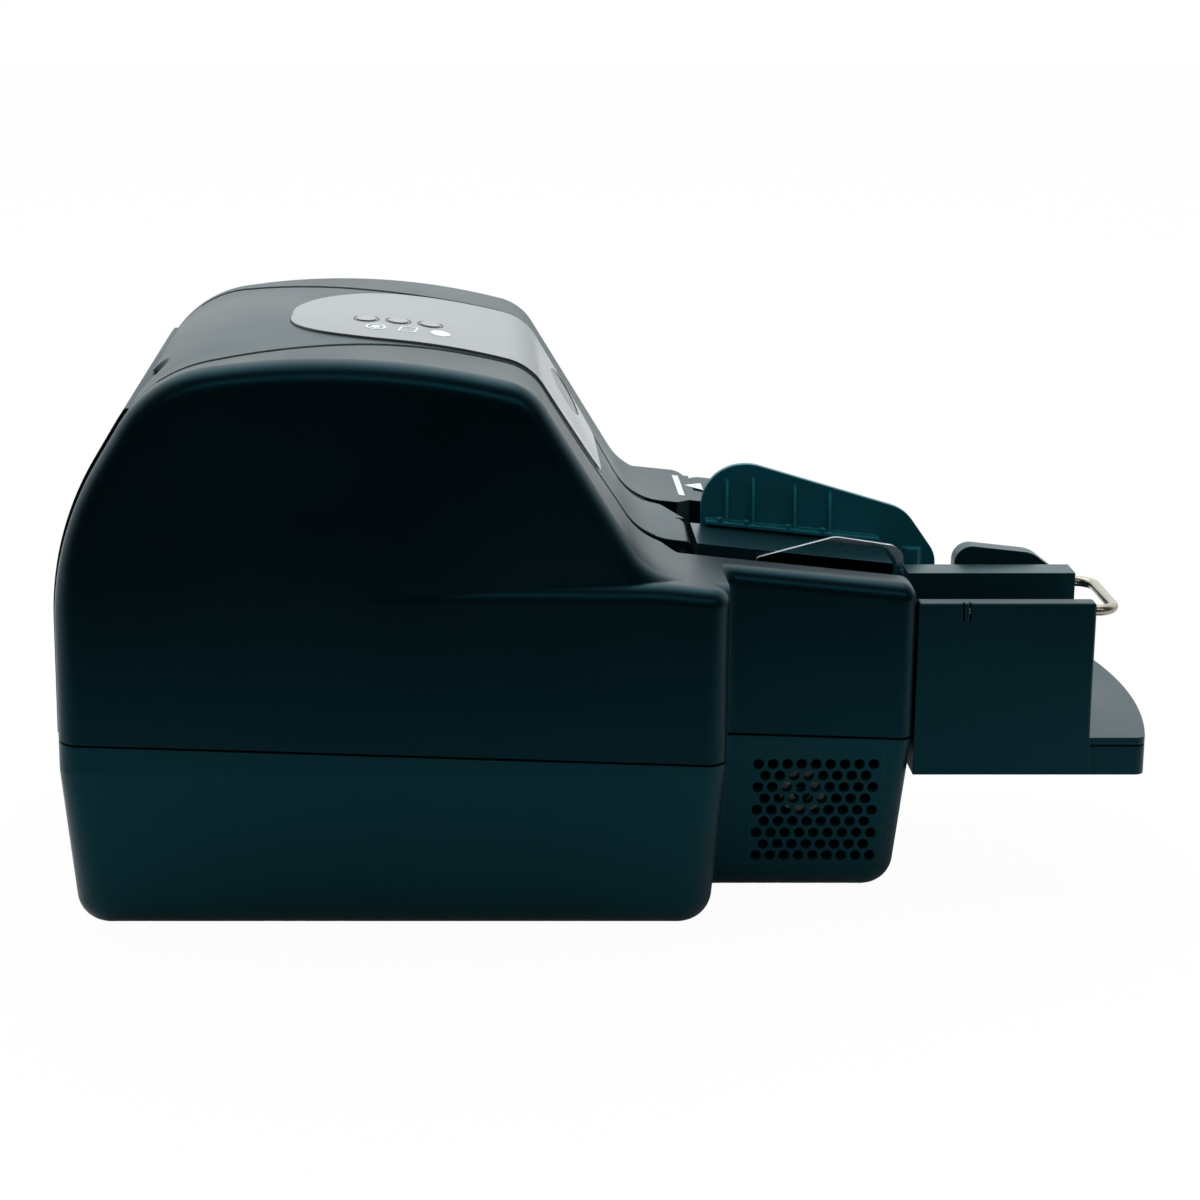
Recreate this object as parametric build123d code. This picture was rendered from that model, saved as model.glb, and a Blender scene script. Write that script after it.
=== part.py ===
"""Desktop cheque scanner.

Cheques stand on edge. They are picked from the entry hopper on the far side of the front,
run along a U-shaped track past the cameras, and come back to the exit pocket on the near side.
+X points to the front, where the hopper and the pocket are, -Y is the exit side, and +Z is up.
The origin lies under the centre of the bounding box, on the surface that the feet stand on.
All sizes are in millimetres.
"""
from build123d import *
import math
import os

os.makedirs("parts", exist_ok=True)

# ---- driving dimensions: casing -------------------------------------------------------------
LENGTH = 305.0            # rear panel to the nose of the document shelf
WIDTH = 140.0             # across the wide rear half
HEIGHT = 160.0            # crown of the dome
WALL = 3.0                # moulded wall thickness
FIT_GAP = 0.4             # gap between a moulding and what it is set into
FOOT_HEIGHT = 2.0
FOOT_RADIUS = 7.0
REAR_X = -LENGTH / 2
NOSE_X = LENGTH / 2
REAR_PANEL_PROUD = 1.2    # the rear panel stands this far out of the side casings
CASING_REAR_X = REAR_X + REAR_PANEL_PROUD
SHOULDER_X = 28.0         # front face of the wide rear half
FRONT_X = 82.0            # front face of the narrow front half
FRONT_HALF = 44.0         # half width of the front half
MAIN_HALF = WIDTH / 2
DOME_TAPER = 5.0          # the dome's sides draw in this much towards the front
DOME_TAPER_START_X = -77.0
SHOULDER_Z = 100.0        # height of the shoulder and of the deck where it meets the dome
DECK_START_X = 8.0
DECK_FALL = 0.105         # fall of the deck for each millimetre towards the front
PARTING_REAR_Z = 55.8     # seam between base pan and casings, at the rear
PARTING_FALL = 0.033      # fall of that seam towards the front
BASE_DRAFT = 4.0          # degrees
BASE_EDGE_RADIUS = 8.5
EDGE_RADIUS = 6.0         # rounding between the dome's top and sides
DECK_EDGE_RADIUS = 4.5
CORNER_RADIUS = 6.0
STEP_RADIUS = 4.0         # corners of the step between the two halves and of the front

# ---- driving dimensions: document track -----------------------------------------------------
FLOOR_Z = 48.0            # the surface that document edges slide on
FLOOR_THICK = 3.0
LANE_GAP = 4.5
ISLAND_HALF = 20.0        # half width of the island that the track runs round
TURN_X = -78.0            # centre of the rear turn
GUIDE_WALL = 2.5
GUIDE_TOP_Z = 134.0
ISLAND_FRONT_X = 20.5
ISLAND_DECK_Z = 86.0      # underside of the island's bearing deck
ISLAND_DECK_THICK = 2.5
ISLAND_CUT = (6.0, 15.0)  # the island's far front corner is cut off this far along and across
HOPPER_FAR_Y = 28.6       # far wall of the entry hopper
POCKET_SLOT_Y = 33.5      # near edge of the exit slot
POCKET_START_X = 16.5
DIVIDER_NEAR_Y = -21.0
DIVIDER_FAR_Y = 1.3
CENTRE_DECK_X = 23.3      # rear end of the centre deck

# ---- driving dimensions: drive --------------------------------------------------------------
SHAFT_RADIUS = 2.0
BORE_CLEARANCE = 0.08
ROLLER_RADIUS = 9.0
PINCH_RADIUS = 6.5
PIN_RADIUS = 1.5
FEED_RADIUS = 8.0
SEPARATOR_RADIUS = 6.0
NIP_GAP = 0.3             # gap between the two rollers of a pair
ROLLER_PROUD = 1.9        # how far a roller stands out of its guide wall
FRONT_DRIVE_X = -14.0
REAR_DRIVE_X = -69.0
PICK_X = 34.0
PULLEY_RADIUS = 6.0
PULLEY_FACE = 4.5
BELT_THICK = 1.2
BELT_Z = 39.0             # lower edge of the belts and pulleys
GEAR_TEETH = 26
GEAR_MODULE = 1.0
GEAR_Z = 33.5
GEAR_FACE = 4.0
TYRE_BANDS = ((54.0, 10.0), (72.0, 10.0))   # start height and width of each rubber band

# ---- helpers --------------------------------------------------------------------------------


def parting_z(x):
    """Height of the seam between base pan and casings at x."""
    return PARTING_REAR_Z - PARTING_FALL * (x - REAR_X)


def deck_z(x):
    """Height of the sloping front deck at x."""
    return SHOULDER_Z - DECK_FALL * (x - DECK_START_X)


def block(x0, x1, y0, y1, z0, z1):
    """A box from its limits."""
    return Pos((x0 + x1) / 2, (y0 + y1) / 2, (z0 + z1) / 2) * Box(x1 - x0, y1 - y0, z1 - z0)


def post(x, y, z0, z1, radius):
    """An upright cylinder."""
    return Pos(x, y, (z0 + z1) / 2) * Cylinder(radius, z1 - z0)


def rod_y(x, z, y0, y1, radius):
    """A cylinder along Y."""
    return Pos(x, (y0 + y1) / 2, z) * Rot(90, 0, 0) * Cylinder(radius, y1 - y0)


def rod_x(y, z, x0, x1, radius):
    """A cylinder along X."""
    return Pos((x0 + x1) / 2, y, z) * Rot(0, 90, 0) * Cylinder(radius, x1 - x0)


def corner(sketch, x, y, radius):
    """The sketch with its vertex nearest (x, y) rounded."""
    vertex = sketch.vertices().sort_by_distance(Vector(x, y, 0))[0]
    return fillet(vertex, radius)


def upright(sketch, z0, z1):
    """A plan sketch raised from z0 to z1."""
    return extrude(Pos(0, 0, z0) * sketch, amount=z1 - z0, dir=(0, 0, 1))


def across(sketch, half):
    """A side-view sketch, drawn as (x, z), extended to half on each side of the centre plane."""
    return extrude(Plane.XZ * sketch, amount=half, both=True)


def between(sketch, y0, y1):
    """A side-view sketch, drawn as (x, z), extended from y0 to y1."""
    return extrude(Pos(0, y0, 0) * (Plane.XZ * sketch), amount=y1 - y0, dir=(0, 1, 0))


def save(name, *solids):
    """Writes one sub-part, as one solid or as a group of separate solids."""
    found = [s for shape in solids for s in shape.solids()]
    shape = found[0] if len(found) == 1 else Compound(children=[Solid(s.wrapped) for s in found])
    export_step(shape, f"parts/{name}.step")


# ---- outer form -----------------------------------------------------------------------------
ROOT_Z = -30.0            # side views are drawn down to here and trimmed afterwards
REAR_LEAN_Z = HEIGHT - 48.3   # the rear face starts to lean forward about here
REAR_LEAN = (31.0, 51.6)
CROWN_X = -80.0
CROWN_RADIUS = 200.0
SLOPE_POINT = (1.7, 109.5)
SLOPE_RUN = (-20.7, 33.5)
REAR_LEAN_RADIUS = 85.0
REAR_TOP_RADIUS = 33.0
FRONT_TOP_RADIUS = 16.0
SLOPE_FOOT_RADIUS = 18.0
DECK_BLEND_RADIUS = 80.0
LEDGE_START_X = DOME_TAPER_START_X - 12   # the ledge beside the dome grows out of its side from here


def meet_crown(point, direction):
    """Where a line from point along direction leaves the crown's circle."""
    px, pz = point[0] - CROWN_X, point[1] - (HEIGHT - CROWN_RADIUS)
    a = direction[0] ** 2 + direction[1] ** 2
    b = px * direction[0] + pz * direction[1]
    c = px ** 2 + pz ** 2 - CROWN_RADIUS ** 2
    t = (-b + math.sqrt(b * b - a * c)) / a
    return point[0] + t * direction[0], point[1] + t * direction[1]


def meet_deck():
    """Where the dome's front slope meets the line of the deck."""
    t = (deck_z(SLOPE_POINT[0]) - SLOPE_POINT[1]) / (SLOPE_RUN[1] + DECK_FALL * SLOPE_RUN[0])
    return SLOPE_POINT[0] + t * SLOPE_RUN[0], SLOPE_POINT[1] + t * SLOPE_RUN[1]


def dome_profile(rear_x, end_x):
    """Side view of the dome and the deck in front of it, as (x, z)."""
    lean_start = (rear_x, REAR_LEAN_Z)
    rear_top = meet_crown(lean_start, REAR_LEAN)
    front_top = meet_crown(SLOPE_POINT, SLOPE_RUN)
    foot = meet_deck()
    outline = (
        Line((rear_x, ROOT_Z), lean_start)
        + Line(lean_start, rear_top)
        + ThreePointArc(rear_top, (CROWN_X, HEIGHT), front_top)
        + Line(front_top, foot)
        + Polyline(foot, (end_x, deck_z(end_x)), (end_x, ROOT_Z), (rear_x, ROOT_Z))
    )
    face = make_face(outline)
    face = corner(face, *lean_start, REAR_LEAN_RADIUS)
    face = corner(face, *rear_top, REAR_TOP_RADIUS)
    face = corner(face, *front_top, FRONT_TOP_RADIUS)
    return corner(face, *foot, SLOPE_FOOT_RADIUS)


def body_plan():
    """Plan of base pan and casings: a wide rear half and a narrow front half."""
    points = [
        (CASING_REAR_X, -MAIN_HALF), (SHOULDER_X, -MAIN_HALF), (SHOULDER_X, -FRONT_HALF),
        (FRONT_X, -FRONT_HALF), (FRONT_X, FRONT_HALF), (SHOULDER_X, FRONT_HALF),
        (SHOULDER_X, MAIN_HALF), (CASING_REAR_X, MAIN_HALF),
    ]
    face = make_face(Polyline(*points, close=True))
    radii = [CORNER_RADIUS] * 2 + [STEP_RADIUS] * 4 + [CORNER_RADIUS] * 2
    for point, radius in zip(points, radii):
        face = corner(face, *point, radius)
    return face


def dome_plan():
    """Plan of the dome, whose sides draw in towards the front on a long arc."""
    end_y = MAIN_HALF - DOME_TAPER
    mid_x = (DOME_TAPER_START_X + SHOULDER_X) / 2
    mid_y = MAIN_HALF - DOME_TAPER / 4
    outline = (
        Line((CASING_REAR_X, -MAIN_HALF), (DOME_TAPER_START_X, -MAIN_HALF))
        + ThreePointArc((DOME_TAPER_START_X, -MAIN_HALF), (mid_x, -mid_y), (SHOULDER_X, -end_y))
        + Line((SHOULDER_X, -end_y), (SHOULDER_X, end_y))
        + ThreePointArc((SHOULDER_X, end_y), (mid_x, mid_y), (DOME_TAPER_START_X, MAIN_HALF))
        + Line((DOME_TAPER_START_X, MAIN_HALF), (CASING_REAR_X, MAIN_HALF))
        + Line((CASING_REAR_X, MAIN_HALF), (CASING_REAR_X, -MAIN_HALF))
    )
    return make_face(outline)


def shoulder_profile():
    """Side view of the lower casing: level beside the dome, then falling with the deck."""
    face = make_face(Polyline(
        (CASING_REAR_X - 1, ROOT_Z), (CASING_REAR_X - 1, SHOULDER_Z), (DECK_START_X, SHOULDER_Z),
        (FRONT_X + 1, deck_z(FRONT_X + 1)), (FRONT_X + 1, ROOT_Z), close=True))
    return corner(face, DECK_START_X, SHOULDER_Z, DECK_BLEND_RADIUS)


def outer_form(inset=0.0):
    """The whole upper casing as one solid block, or the same form inset for its cavity."""
    plan, dome, shoulder = body_plan(), dome_plan(), shoulder_profile()
    profile = dome_profile(CASING_REAR_X, SHOULDER_X)
    if inset:
        plan, dome, profile = (offset(face, amount=-inset) for face in (plan, dome, profile))
        shoulder = Pos(0, -inset) * shoulder
    dome_solid = across(profile, WIDTH) & upright(dome, ROOT_Z, HEIGHT + 10)
    low_solid = upright(plan, ROOT_Z, HEIGHT) & across(shoulder, WIDTH)
    low_solid = low_solid & block(LEDGE_START_X, FRONT_X + 10, -WIDTH, WIDTH, ROOT_Z, HEIGHT)
    if not inset:
        dome_solid = round_dome(dome_solid)
        low_solid = round_deck(low_solid)
    return dome_solid + low_solid


def round_dome(solid):
    """Rounds the edges between the dome's top and rear surface and its two sides."""
    sides = [e for e in solid.edges()
             if abs(e.center().Y) > MAIN_HALF - DOME_TAPER - 1
             and e.center().Z > ROOT_Z + 1 and e.center().X < SHOULDER_X - 1]
    edges = [e for e in sides
             if e.bounding_box().size.X > 0.2 or e.center().X < CASING_REAR_X + 1]
    return fillet(edges, EDGE_RADIUS)


def round_deck(solid):
    """Rounds the outer top edges of the lower casing."""
    top = [f for f in solid.faces() if f.normal_at().Z > 0.9]
    seams = [e for e in solid.edges() if abs(e.center().Y) < 0.1 and e.center().X < FRONT_X - 1]
    edges = [e for f in top for e in f.edges()
             if e.center().X > LEDGE_START_X + 1 and not any(e.is_same(s) for s in seams)]
    return fillet(edges, DECK_EDGE_RADIUS)


# ---- well, cover and casings ----------------------------------------------------------------
COVER_THICK = 3.0
LIP_DEPTH = 9.0           # the mouldings turn down this far along the well
LIP_WALL = 2.2
SEAM_GAP = 0.8            # open seam between cover and casings
WELL_HALF = 59.0          # half width of the well at the rear
WELL_REAR_X = -124.0
WELL_EDGE = ((-116.0, 59.0), (-60.0, 40.4), (-14.0, 38.6), (3.0, 24.5))   # corners of its outline
WELL_RADII = (46.0, 110.0, 20.0, 14.0)
LANE_OUT = ISLAND_HALF + LANE_GAP
COVER_REAR_X = -130.5
SKIRT_INSET = 1.8         # the cover's own turned-down edge stands in from its outline
SKIRT_DEPTH = 7.0
COVER_EDGE = ((-116.0, 58.2), (-60.0, 39.6), (-14.6, 37.8), (4.5, 20.0))
COVER_RADII = (46.0, 110.0, 18.0, 18.0)
COVER_FRONT_X = 22.3
REAR_PANEL_TOP_Z = 145.5
SEAM_GROOVE = 0.7
SEAM_GROOVE_DEPTH = 1.4
HINGE_RADIUS = 2.9        # rounded front edge of the cover, about its pin
HINGE_X = COVER_FRONT_X - HINGE_RADIUS
HINGE_Z = deck_z(HINGE_X) - HINGE_RADIUS
HINGE_PIN_RADIUS = 1.0
EAR_RADIUS = 1.9
EAR_Y = (-12.0, -4.0)
FAR_X = 200.0             # beyond the object on every side
HOPPER_START_X = 25.5


def full_profile():
    """Side view of dome and deck, out to the front face and past it."""
    return dome_profile(CASING_REAR_X, FRONT_X + 10)


def under_skin(depth):
    """Everything that lies at least depth below the dome and the deck."""
    return across(offset(full_profile(), amount=-depth), WIDTH)


def skin(depth, top=0.0):
    """The layer of the dome and the deck between two depths."""
    outer = offset(full_profile(), amount=-top) if top else full_profile()
    return across(outer, WIDTH) - under_skin(depth)


def side_run(points, radii, start, end, sign):
    """One side of a plan outline: straight runs joined by tangent arcs."""
    return FilletPolyline(*[(x, sign * y) for x, y in (start, *points, end)], radius=list(radii))


def well_plan(spread=0.0):
    """Plan of the open well between the casings, with the slots of hopper and pocket."""
    start, end = (WELL_REAR_X, WELL_HALF), (DECK_START_X + 2, LANE_OUT)
    outline = (
        Polyline((-FAR_X, -WELL_HALF), (WELL_REAR_X, -WELL_HALF))
        + side_run(WELL_EDGE, WELL_RADII, start, end, -1)
        + Polyline((DECK_START_X + 2, -LANE_OUT), (POCKET_START_X - 4, -LANE_OUT),
                   (POCKET_START_X, -POCKET_SLOT_Y), (FAR_X, -POCKET_SLOT_Y),
                   (FAR_X, HOPPER_FAR_Y), (HOPPER_START_X, HOPPER_FAR_Y),
                   (HOPPER_START_X - 4, LANE_OUT), (DECK_START_X + 2, LANE_OUT))
        + side_run(WELL_EDGE, WELL_RADII, start, end, 1)
        + Polyline((WELL_REAR_X, WELL_HALF), (-FAR_X, WELL_HALF), (-FAR_X, -WELL_HALF))
    )
    face = make_face(outline)
    face = corner(face, POCKET_START_X, -POCKET_SLOT_Y, 1.5)
    face = corner(face, POCKET_START_X - 4, -LANE_OUT, 2.5)
    return offset(face, amount=spread) if spread else face


def cover_plan():
    """Plan of the centre cover: wide at the rear, and a narrow foot between the two lanes."""
    start, end = (WELL_REAR_X, WELL_HALF - SEAM_GAP), (DECK_START_X + 4, ISLAND_HALF)
    outline = (
        Polyline((COVER_REAR_X, -start[1]), (WELL_REAR_X, -start[1]))
        + side_run(COVER_EDGE, COVER_RADII, start, end, -1)
        + Polyline((end[0], -ISLAND_HALF), (COVER_FRONT_X, -ISLAND_HALF), (COVER_FRONT_X, 4.5),
                   (COVER_FRONT_X - 6.5, ISLAND_HALF), (end[0], ISLAND_HALF))
        + side_run(COVER_EDGE, COVER_RADII, start, end, 1)
        + Polyline((WELL_REAR_X, start[1]), (COVER_REAR_X, start[1]), (COVER_REAR_X, -start[1]))
    )
    face = make_face(outline)
    return corner(face, COVER_FRONT_X - 6.5, ISLAND_HALF, 2.0)


def above_parting(lift=0.0):
    """Everything above the seam between base pan and casings."""
    x0, x1 = REAR_X - 10, NOSE_X
    return across(make_face(Polyline((x0, parting_z(x0) + lift), (x1, parting_z(x1) + lift),
                                     (x1, HEIGHT + 20), (x0, HEIGHT + 20), close=True)), WIDTH)


def seam_groove():
    """The thin groove that shows round the outside, just above the parting seam."""
    layer = above_parting() - above_parting(SEAM_GROOVE)
    ring = upright(offset(body_plan(), amount=5), 0, HEIGHT)
    return (layer & ring) - upright(offset(body_plan(), amount=-SEAM_GROOVE_DEPTH), 0, HEIGHT)


def side_casings():
    """The exit-side and entry-side casings: thin mouldings with a lip along the well."""
    well = upright(well_plan(), ROOT_Z, HEIGHT + 20)
    shell = outer_form() - outer_form(WALL)
    collar = upright(well_plan(LIP_WALL), 0, HEIGHT) - well
    lip = collar & (outer_form() - under_skin(LIP_DEPTH))
    rear_band = block(CASING_REAR_X, CASING_REAR_X + LIP_DEPTH, -MAIN_HALF, MAIN_HALF, 0, HEIGHT)
    rim = collar & rear_band & outer_form()
    shell = ((shell - well) + lip + rim) & above_parting()
    shell = shell - seam_groove()
    near = max((shell & block(-FAR_X, FAR_X, -FAR_X, 0, 0, FAR_X)).solids(), key=lambda s: s.volume)
    far = max((shell & block(-FAR_X, FAR_X, 0, FAR_X, 0, FAR_X)).solids(), key=lambda s: s.volume)
    return near, far


def rear_panel():
    """The dark panel that closes the rear of the well and stands a little proud of the casings."""
    outer = across(dome_profile(REAR_X, SHOULDER_X), WELL_HALF - FIT_GAP)
    inner = across(offset(dome_profile(REAR_X, SHOULDER_X), amount=-WALL), WIDTH)
    rear = block(-FAR_X, WELL_REAR_X, -WIDTH, WIDTH, 0, REAR_PANEL_TOP_Z)
    panel = (outer - inner) & above_parting() & rear
    return panel.solids().sort_by(Axis.Z)[0]


def hinge_cut():
    """Room in the cover's rounded front edge for the ear that holds its pin."""
    y0, y1 = EAR_Y[0] - FIT_GAP, EAR_Y[1] + FIT_GAP
    below = block(HINGE_X - HINGE_RADIUS - 2, COVER_FRONT_X + 1, y0, y1, HINGE_Z - 10, HINGE_Z + 0.6)
    return rod_y(HINGE_X, HINGE_Z, y0, y1, EAR_RADIUS + 0.3) + below


PANEL_REAR_X = -91.4
PANEL_FRONT_X = -4.0
PANEL_HALF = 36.0
PANEL_FRONT_HALF = 26.0
PANEL_NECK_X = -20.0      # the panel narrows from here to its front end
PANEL_RADII = (31.0, 18.0, 12.0)
PANEL_SINK = 1.2          # the indicator panel lies in a recess this deep
PANEL_PROUD = 0.6
LAMP_XS = (-70.0, -61.0, -52.0)
LAMP_Y = -8.0
INLAY_X, INLAY_Y = -13.0, 16.0
SCOOP_RADIUS = 21.0       # finger scoop in the rear edge of the cover
SCOOP_Y = -27.0
SCOOP_REACH = 7.0
SCOOP_SINK = 1.6


def panel_plan(spread=0.0):
    """Plan of the indicator panel: a tongue with a round rear end and a narrower front end."""
    side = [(PANEL_REAR_X, PANEL_HALF), (PANEL_NECK_X, PANEL_HALF), (PANEL_FRONT_X, PANEL_FRONT_HALF)]
    near = [(x, -y) for x, y in reversed(side)]
    face = make_face(Polyline(*side, *near, close=True))
    for (x, y), radius in zip(side, PANEL_RADII):
        face = corner(face, x, y, radius)
        face = corner(face, x, -y, radius)
    return offset(face, amount=spread) if spread else face


def lamp_plan(spread=0.0):
    """Plan of the three indicator lamps."""
    return [Pos(x, LAMP_Y) * Ellipse(2.8 + spread, 3.8 + spread) for x in LAMP_XS]


def inlay_plan(spread=0.0):
    """Plan of the oval inlay on the front slope."""
    return Pos(INLAY_X, INLAY_Y) * Ellipse(4.0 + spread, 15.0 + spread)


def proud_skin(depth, proud):
    """The layer from depth below the dome's surface to proud above it."""
    return across(offset(full_profile(), amount=proud), WIDTH) - under_skin(depth)


def centre_cover():
    """The hinged centre cover, with its turned-down edge and its rounded hinge edge."""
    plan = cover_plan()
    solid = upright(plan, 0, HEIGHT + 10) & skin(COVER_THICK)
    ring = upright(offset(plan, amount=-SKIRT_INSET), 0, HEIGHT)
    ring = ring - upright(offset(plan, amount=-SKIRT_INSET - LIP_WALL), 0, HEIGHT)
    reach = block(COVER_REAR_X, DECK_START_X - 6, -WIDTH, WIDTH, 0, HEIGHT)
    solid = solid + (ring & reach & skin(SKIRT_DEPTH, COVER_THICK - 0.5))
    solid = solid - block(-FAR_X, WELL_REAR_X - 1.5, -WIDTH, WIDTH, 0, REAR_PANEL_TOP_Z + 0.6)
    foot_y0, foot_y1 = -ISLAND_HALF, 4.5
    nose = block(HINGE_X, COVER_FRONT_X + 1, foot_y0 - 1, foot_y1 + 1, HINGE_Z - 6, HINGE_Z + 6)
    solid = solid - nose + rod_y(HINGE_X, HINGE_Z, foot_y0, foot_y1, HINGE_RADIUS)
    bore = HINGE_PIN_RADIUS + BORE_CLEARANCE
    solid = solid - hinge_cut() - rod_y(HINGE_X, HINGE_Z, foot_y0 - 1, foot_y1 + 1, bore)
    solid = solid - (upright(panel_plan(0.15), 0, HEIGHT + 10) & skin(PANEL_SINK))
    scoop = Pos(COVER_REAR_X - SCOOP_RADIUS + SCOOP_REACH, SCOOP_Y) * Circle(SCOOP_RADIUS)
    solid = solid - (upright(scoop, 0, HEIGHT + 10) & skin(SCOOP_SINK))
    return max(solid.solids(), key=lambda s: s.volume)


def indicator_panel():
    """The glossy grey overlay, with holes for its lamps and a seat for its inlay."""
    solid = upright(panel_plan(), 0, HEIGHT + 10) & proud_skin(PANEL_SINK, PANEL_PROUD)
    for lamp in lamp_plan(0.05):
        solid = solid - upright(lamp, 0, HEIGHT + 10)
    solid = solid - (upright(inlay_plan(0.05), 0, HEIGHT) & proud_skin(PANEL_SINK - 0.6, PANEL_PROUD))
    return solid.solids()[0]


def indicator_lamps():
    """Three lens caps, slightly domed over the panel."""
    layer = proud_skin(PANEL_SINK, PANEL_PROUD + 0.25)
    return [upright(lamp, 0, HEIGHT + 10) & layer for lamp in lamp_plan()]


def slope_inlay():
    """The dark oval inlay on the front slope of the panel."""
    return upright(inlay_plan(), 0, HEIGHT) & proud_skin(PANEL_SINK - 0.6, PANEL_PROUD - 0.2)


def hinge_pin():
    """The steel pin of the cover's hinge."""
    return rod_y(HINGE_X, HINGE_Z, -ISLAND_HALF + 1, 4.0, HINGE_PIN_RADIUS)


# ---- base pan and what stands in it ---------------------------------------------------------
BASE_BEND_Z = 48.0        # the sides are upright above this and drafted below it
BASE_THICK = 3.0
BASE_FLOOR_Z = FOOT_HEIGHT + BASE_THICK
CHASSIS_Z = FLOOR_Z - FLOOR_THICK
BASE_BOSSES = ((-132.0, -48.0), (-132.0, 48.0), (-30.0, -46.0), (-30.0, 46.0), (46.0, -10.0), (46.0, 10.0))
BOSS_RADIUS = 4.6
SCREW_RADIUS = 1.4
SCREW_HEAD_RADIUS = 2.8
SCREW_HEAD_HEIGHT = 1.8
SCREW_HEAD_GAP = 0.3
SCREW_GRIP = 12.0         # boss left between a screw's head and the chassis
FOOT_SPOTS = ((-116.0, -42.0), (-116.0, 42.0), (62.0, -18.0), (62.0, 18.0))
GRILLE_X, GRILLE_Z = 55.3, 27.2
GRILLE_ROWS = 9
GRILLE_COLUMNS = 9
GRILLE_PITCH_X = 4.0
GRILLE_PITCH_Z = GRILLE_PITCH_X * math.sqrt(3) / 2
GRILLE_HOLE_RADIUS = 1.5
GRILLE_INNER_Y = -33.0    # inside the wall
FAN_SIZE = 30.0
FAN_Y = (-34.5, -24.5)
FAN_X = 53.0
FAN_Z = 29.5
FAN_FOOT_Z = FAN_Z - FAN_SIZE / 2
FAN_CRADLE_X = 10.0       # the cradle's two ribs stand this far from the fan's axis
FAN_CRADLE_RIB = 2.0
FAN_BORE = 14.0
FAN_HUB = 7.8
FAN_BLADES = 7
BLADE_CHORD = 6.4
BLADE_THICK = 0.9
BLADE_PITCH = 38.0        # degrees
BOARD_BOX = (-142.0, -78.0, -36.0, 36.0)
BOARD_Z = 7.0
BOARD_THICK = 1.6
USB_Y, USB_WIDTH, USB_HEIGHT = -26.0, 12.0, 11.0
JACK_Y, JACK_WIDTH, JACK_HEIGHT = 26.0, 9.0, 11.0
SOCKET_FRONT_X = -132.0
SOCKET_REAR_X = -148.2
SOCKET_Z = BOARD_Z + BOARD_THICK
TONGUE_HALF = 30.0
TONGUE_THICK = 3.0
TRAY_GAP = 0.6
TRAY_REAR_X = FRONT_X + TRAY_GAP


def draft_at(z):
    """How far the drafted sides of the base stand in at z."""
    return (BASE_BEND_Z - z) * math.tan(math.radians(BASE_DRAFT))


def base_plan(inset, outer_radius=CORNER_RADIUS, front_radius=STEP_RADIUS):
    """Plan of the base at one height."""
    points = [
        (CASING_REAR_X + inset, inset - MAIN_HALF), (SHOULDER_X - inset, inset - MAIN_HALF),
        (SHOULDER_X - inset, inset - FRONT_HALF), (FRONT_X - inset, inset - FRONT_HALF),
        (FRONT_X - inset, FRONT_HALF - inset), (SHOULDER_X - inset, FRONT_HALF - inset),
        (SHOULDER_X - inset, MAIN_HALF - inset), (CASING_REAR_X + inset, MAIN_HALF - inset),
    ]
    face = make_face(Polyline(*points, close=True))
    half = [outer_radius, outer_radius, STEP_RADIUS, front_radius]
    radii = half + half[::-1]
    for point, radius in zip(points, radii):
        face = corner(face, *point, radius)
    return face


def base_form(inset, bottom_z, edge_radius):
    """The base as a solid block down to bottom_z, with its lower edge rounded."""
    low_radius = max(edge_radius + 2.0, CORNER_RADIUS)
    low = Pos(0, 0, bottom_z) * base_plan(inset + draft_at(bottom_z), low_radius, low_radius)
    bend = Pos(0, 0, BASE_BEND_Z) * base_plan(inset)
    solid = loft([low, bend], ruled=True) + upright(base_plan(inset), BASE_BEND_Z, PARTING_REAR_Z + 3)
    edges = [e for e in solid.edges() if abs(e.center().Z - bottom_z) < 0.01]
    return fillet(edges, edge_radius)


def grille_box():
    """The stretch of the exit-side wall that the fan blows through."""
    half = (GRILLE_COLUMNS + 0.5) * GRILLE_PITCH_X / 2
    z0, z1 = FOOT_HEIGHT + BASE_EDGE_RADIUS + 0.3, CHASSIS_Z + 1
    return block(GRILLE_X - half, GRILLE_X + half, -FRONT_HALF - 1, GRILLE_INNER_Y, z0, z1)


def grille_holes():
    """Rows of round holes, each row set half a pitch from the next and one hole shorter."""
    holes = []
    for row in range(GRILLE_ROWS):
        count = GRILLE_COLUMNS - row % 2
        z = GRILLE_Z + (row - (GRILLE_ROWS - 1) / 2) * GRILLE_PITCH_Z
        for column in range(count):
            x = GRILLE_X + (column - (count - 1) / 2) * GRILLE_PITCH_X
            holes.append(rod_y(x, z, -FRONT_HALF - 2, GRILLE_INNER_Y + 3, GRILLE_HOLE_RADIUS))
    return holes


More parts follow.
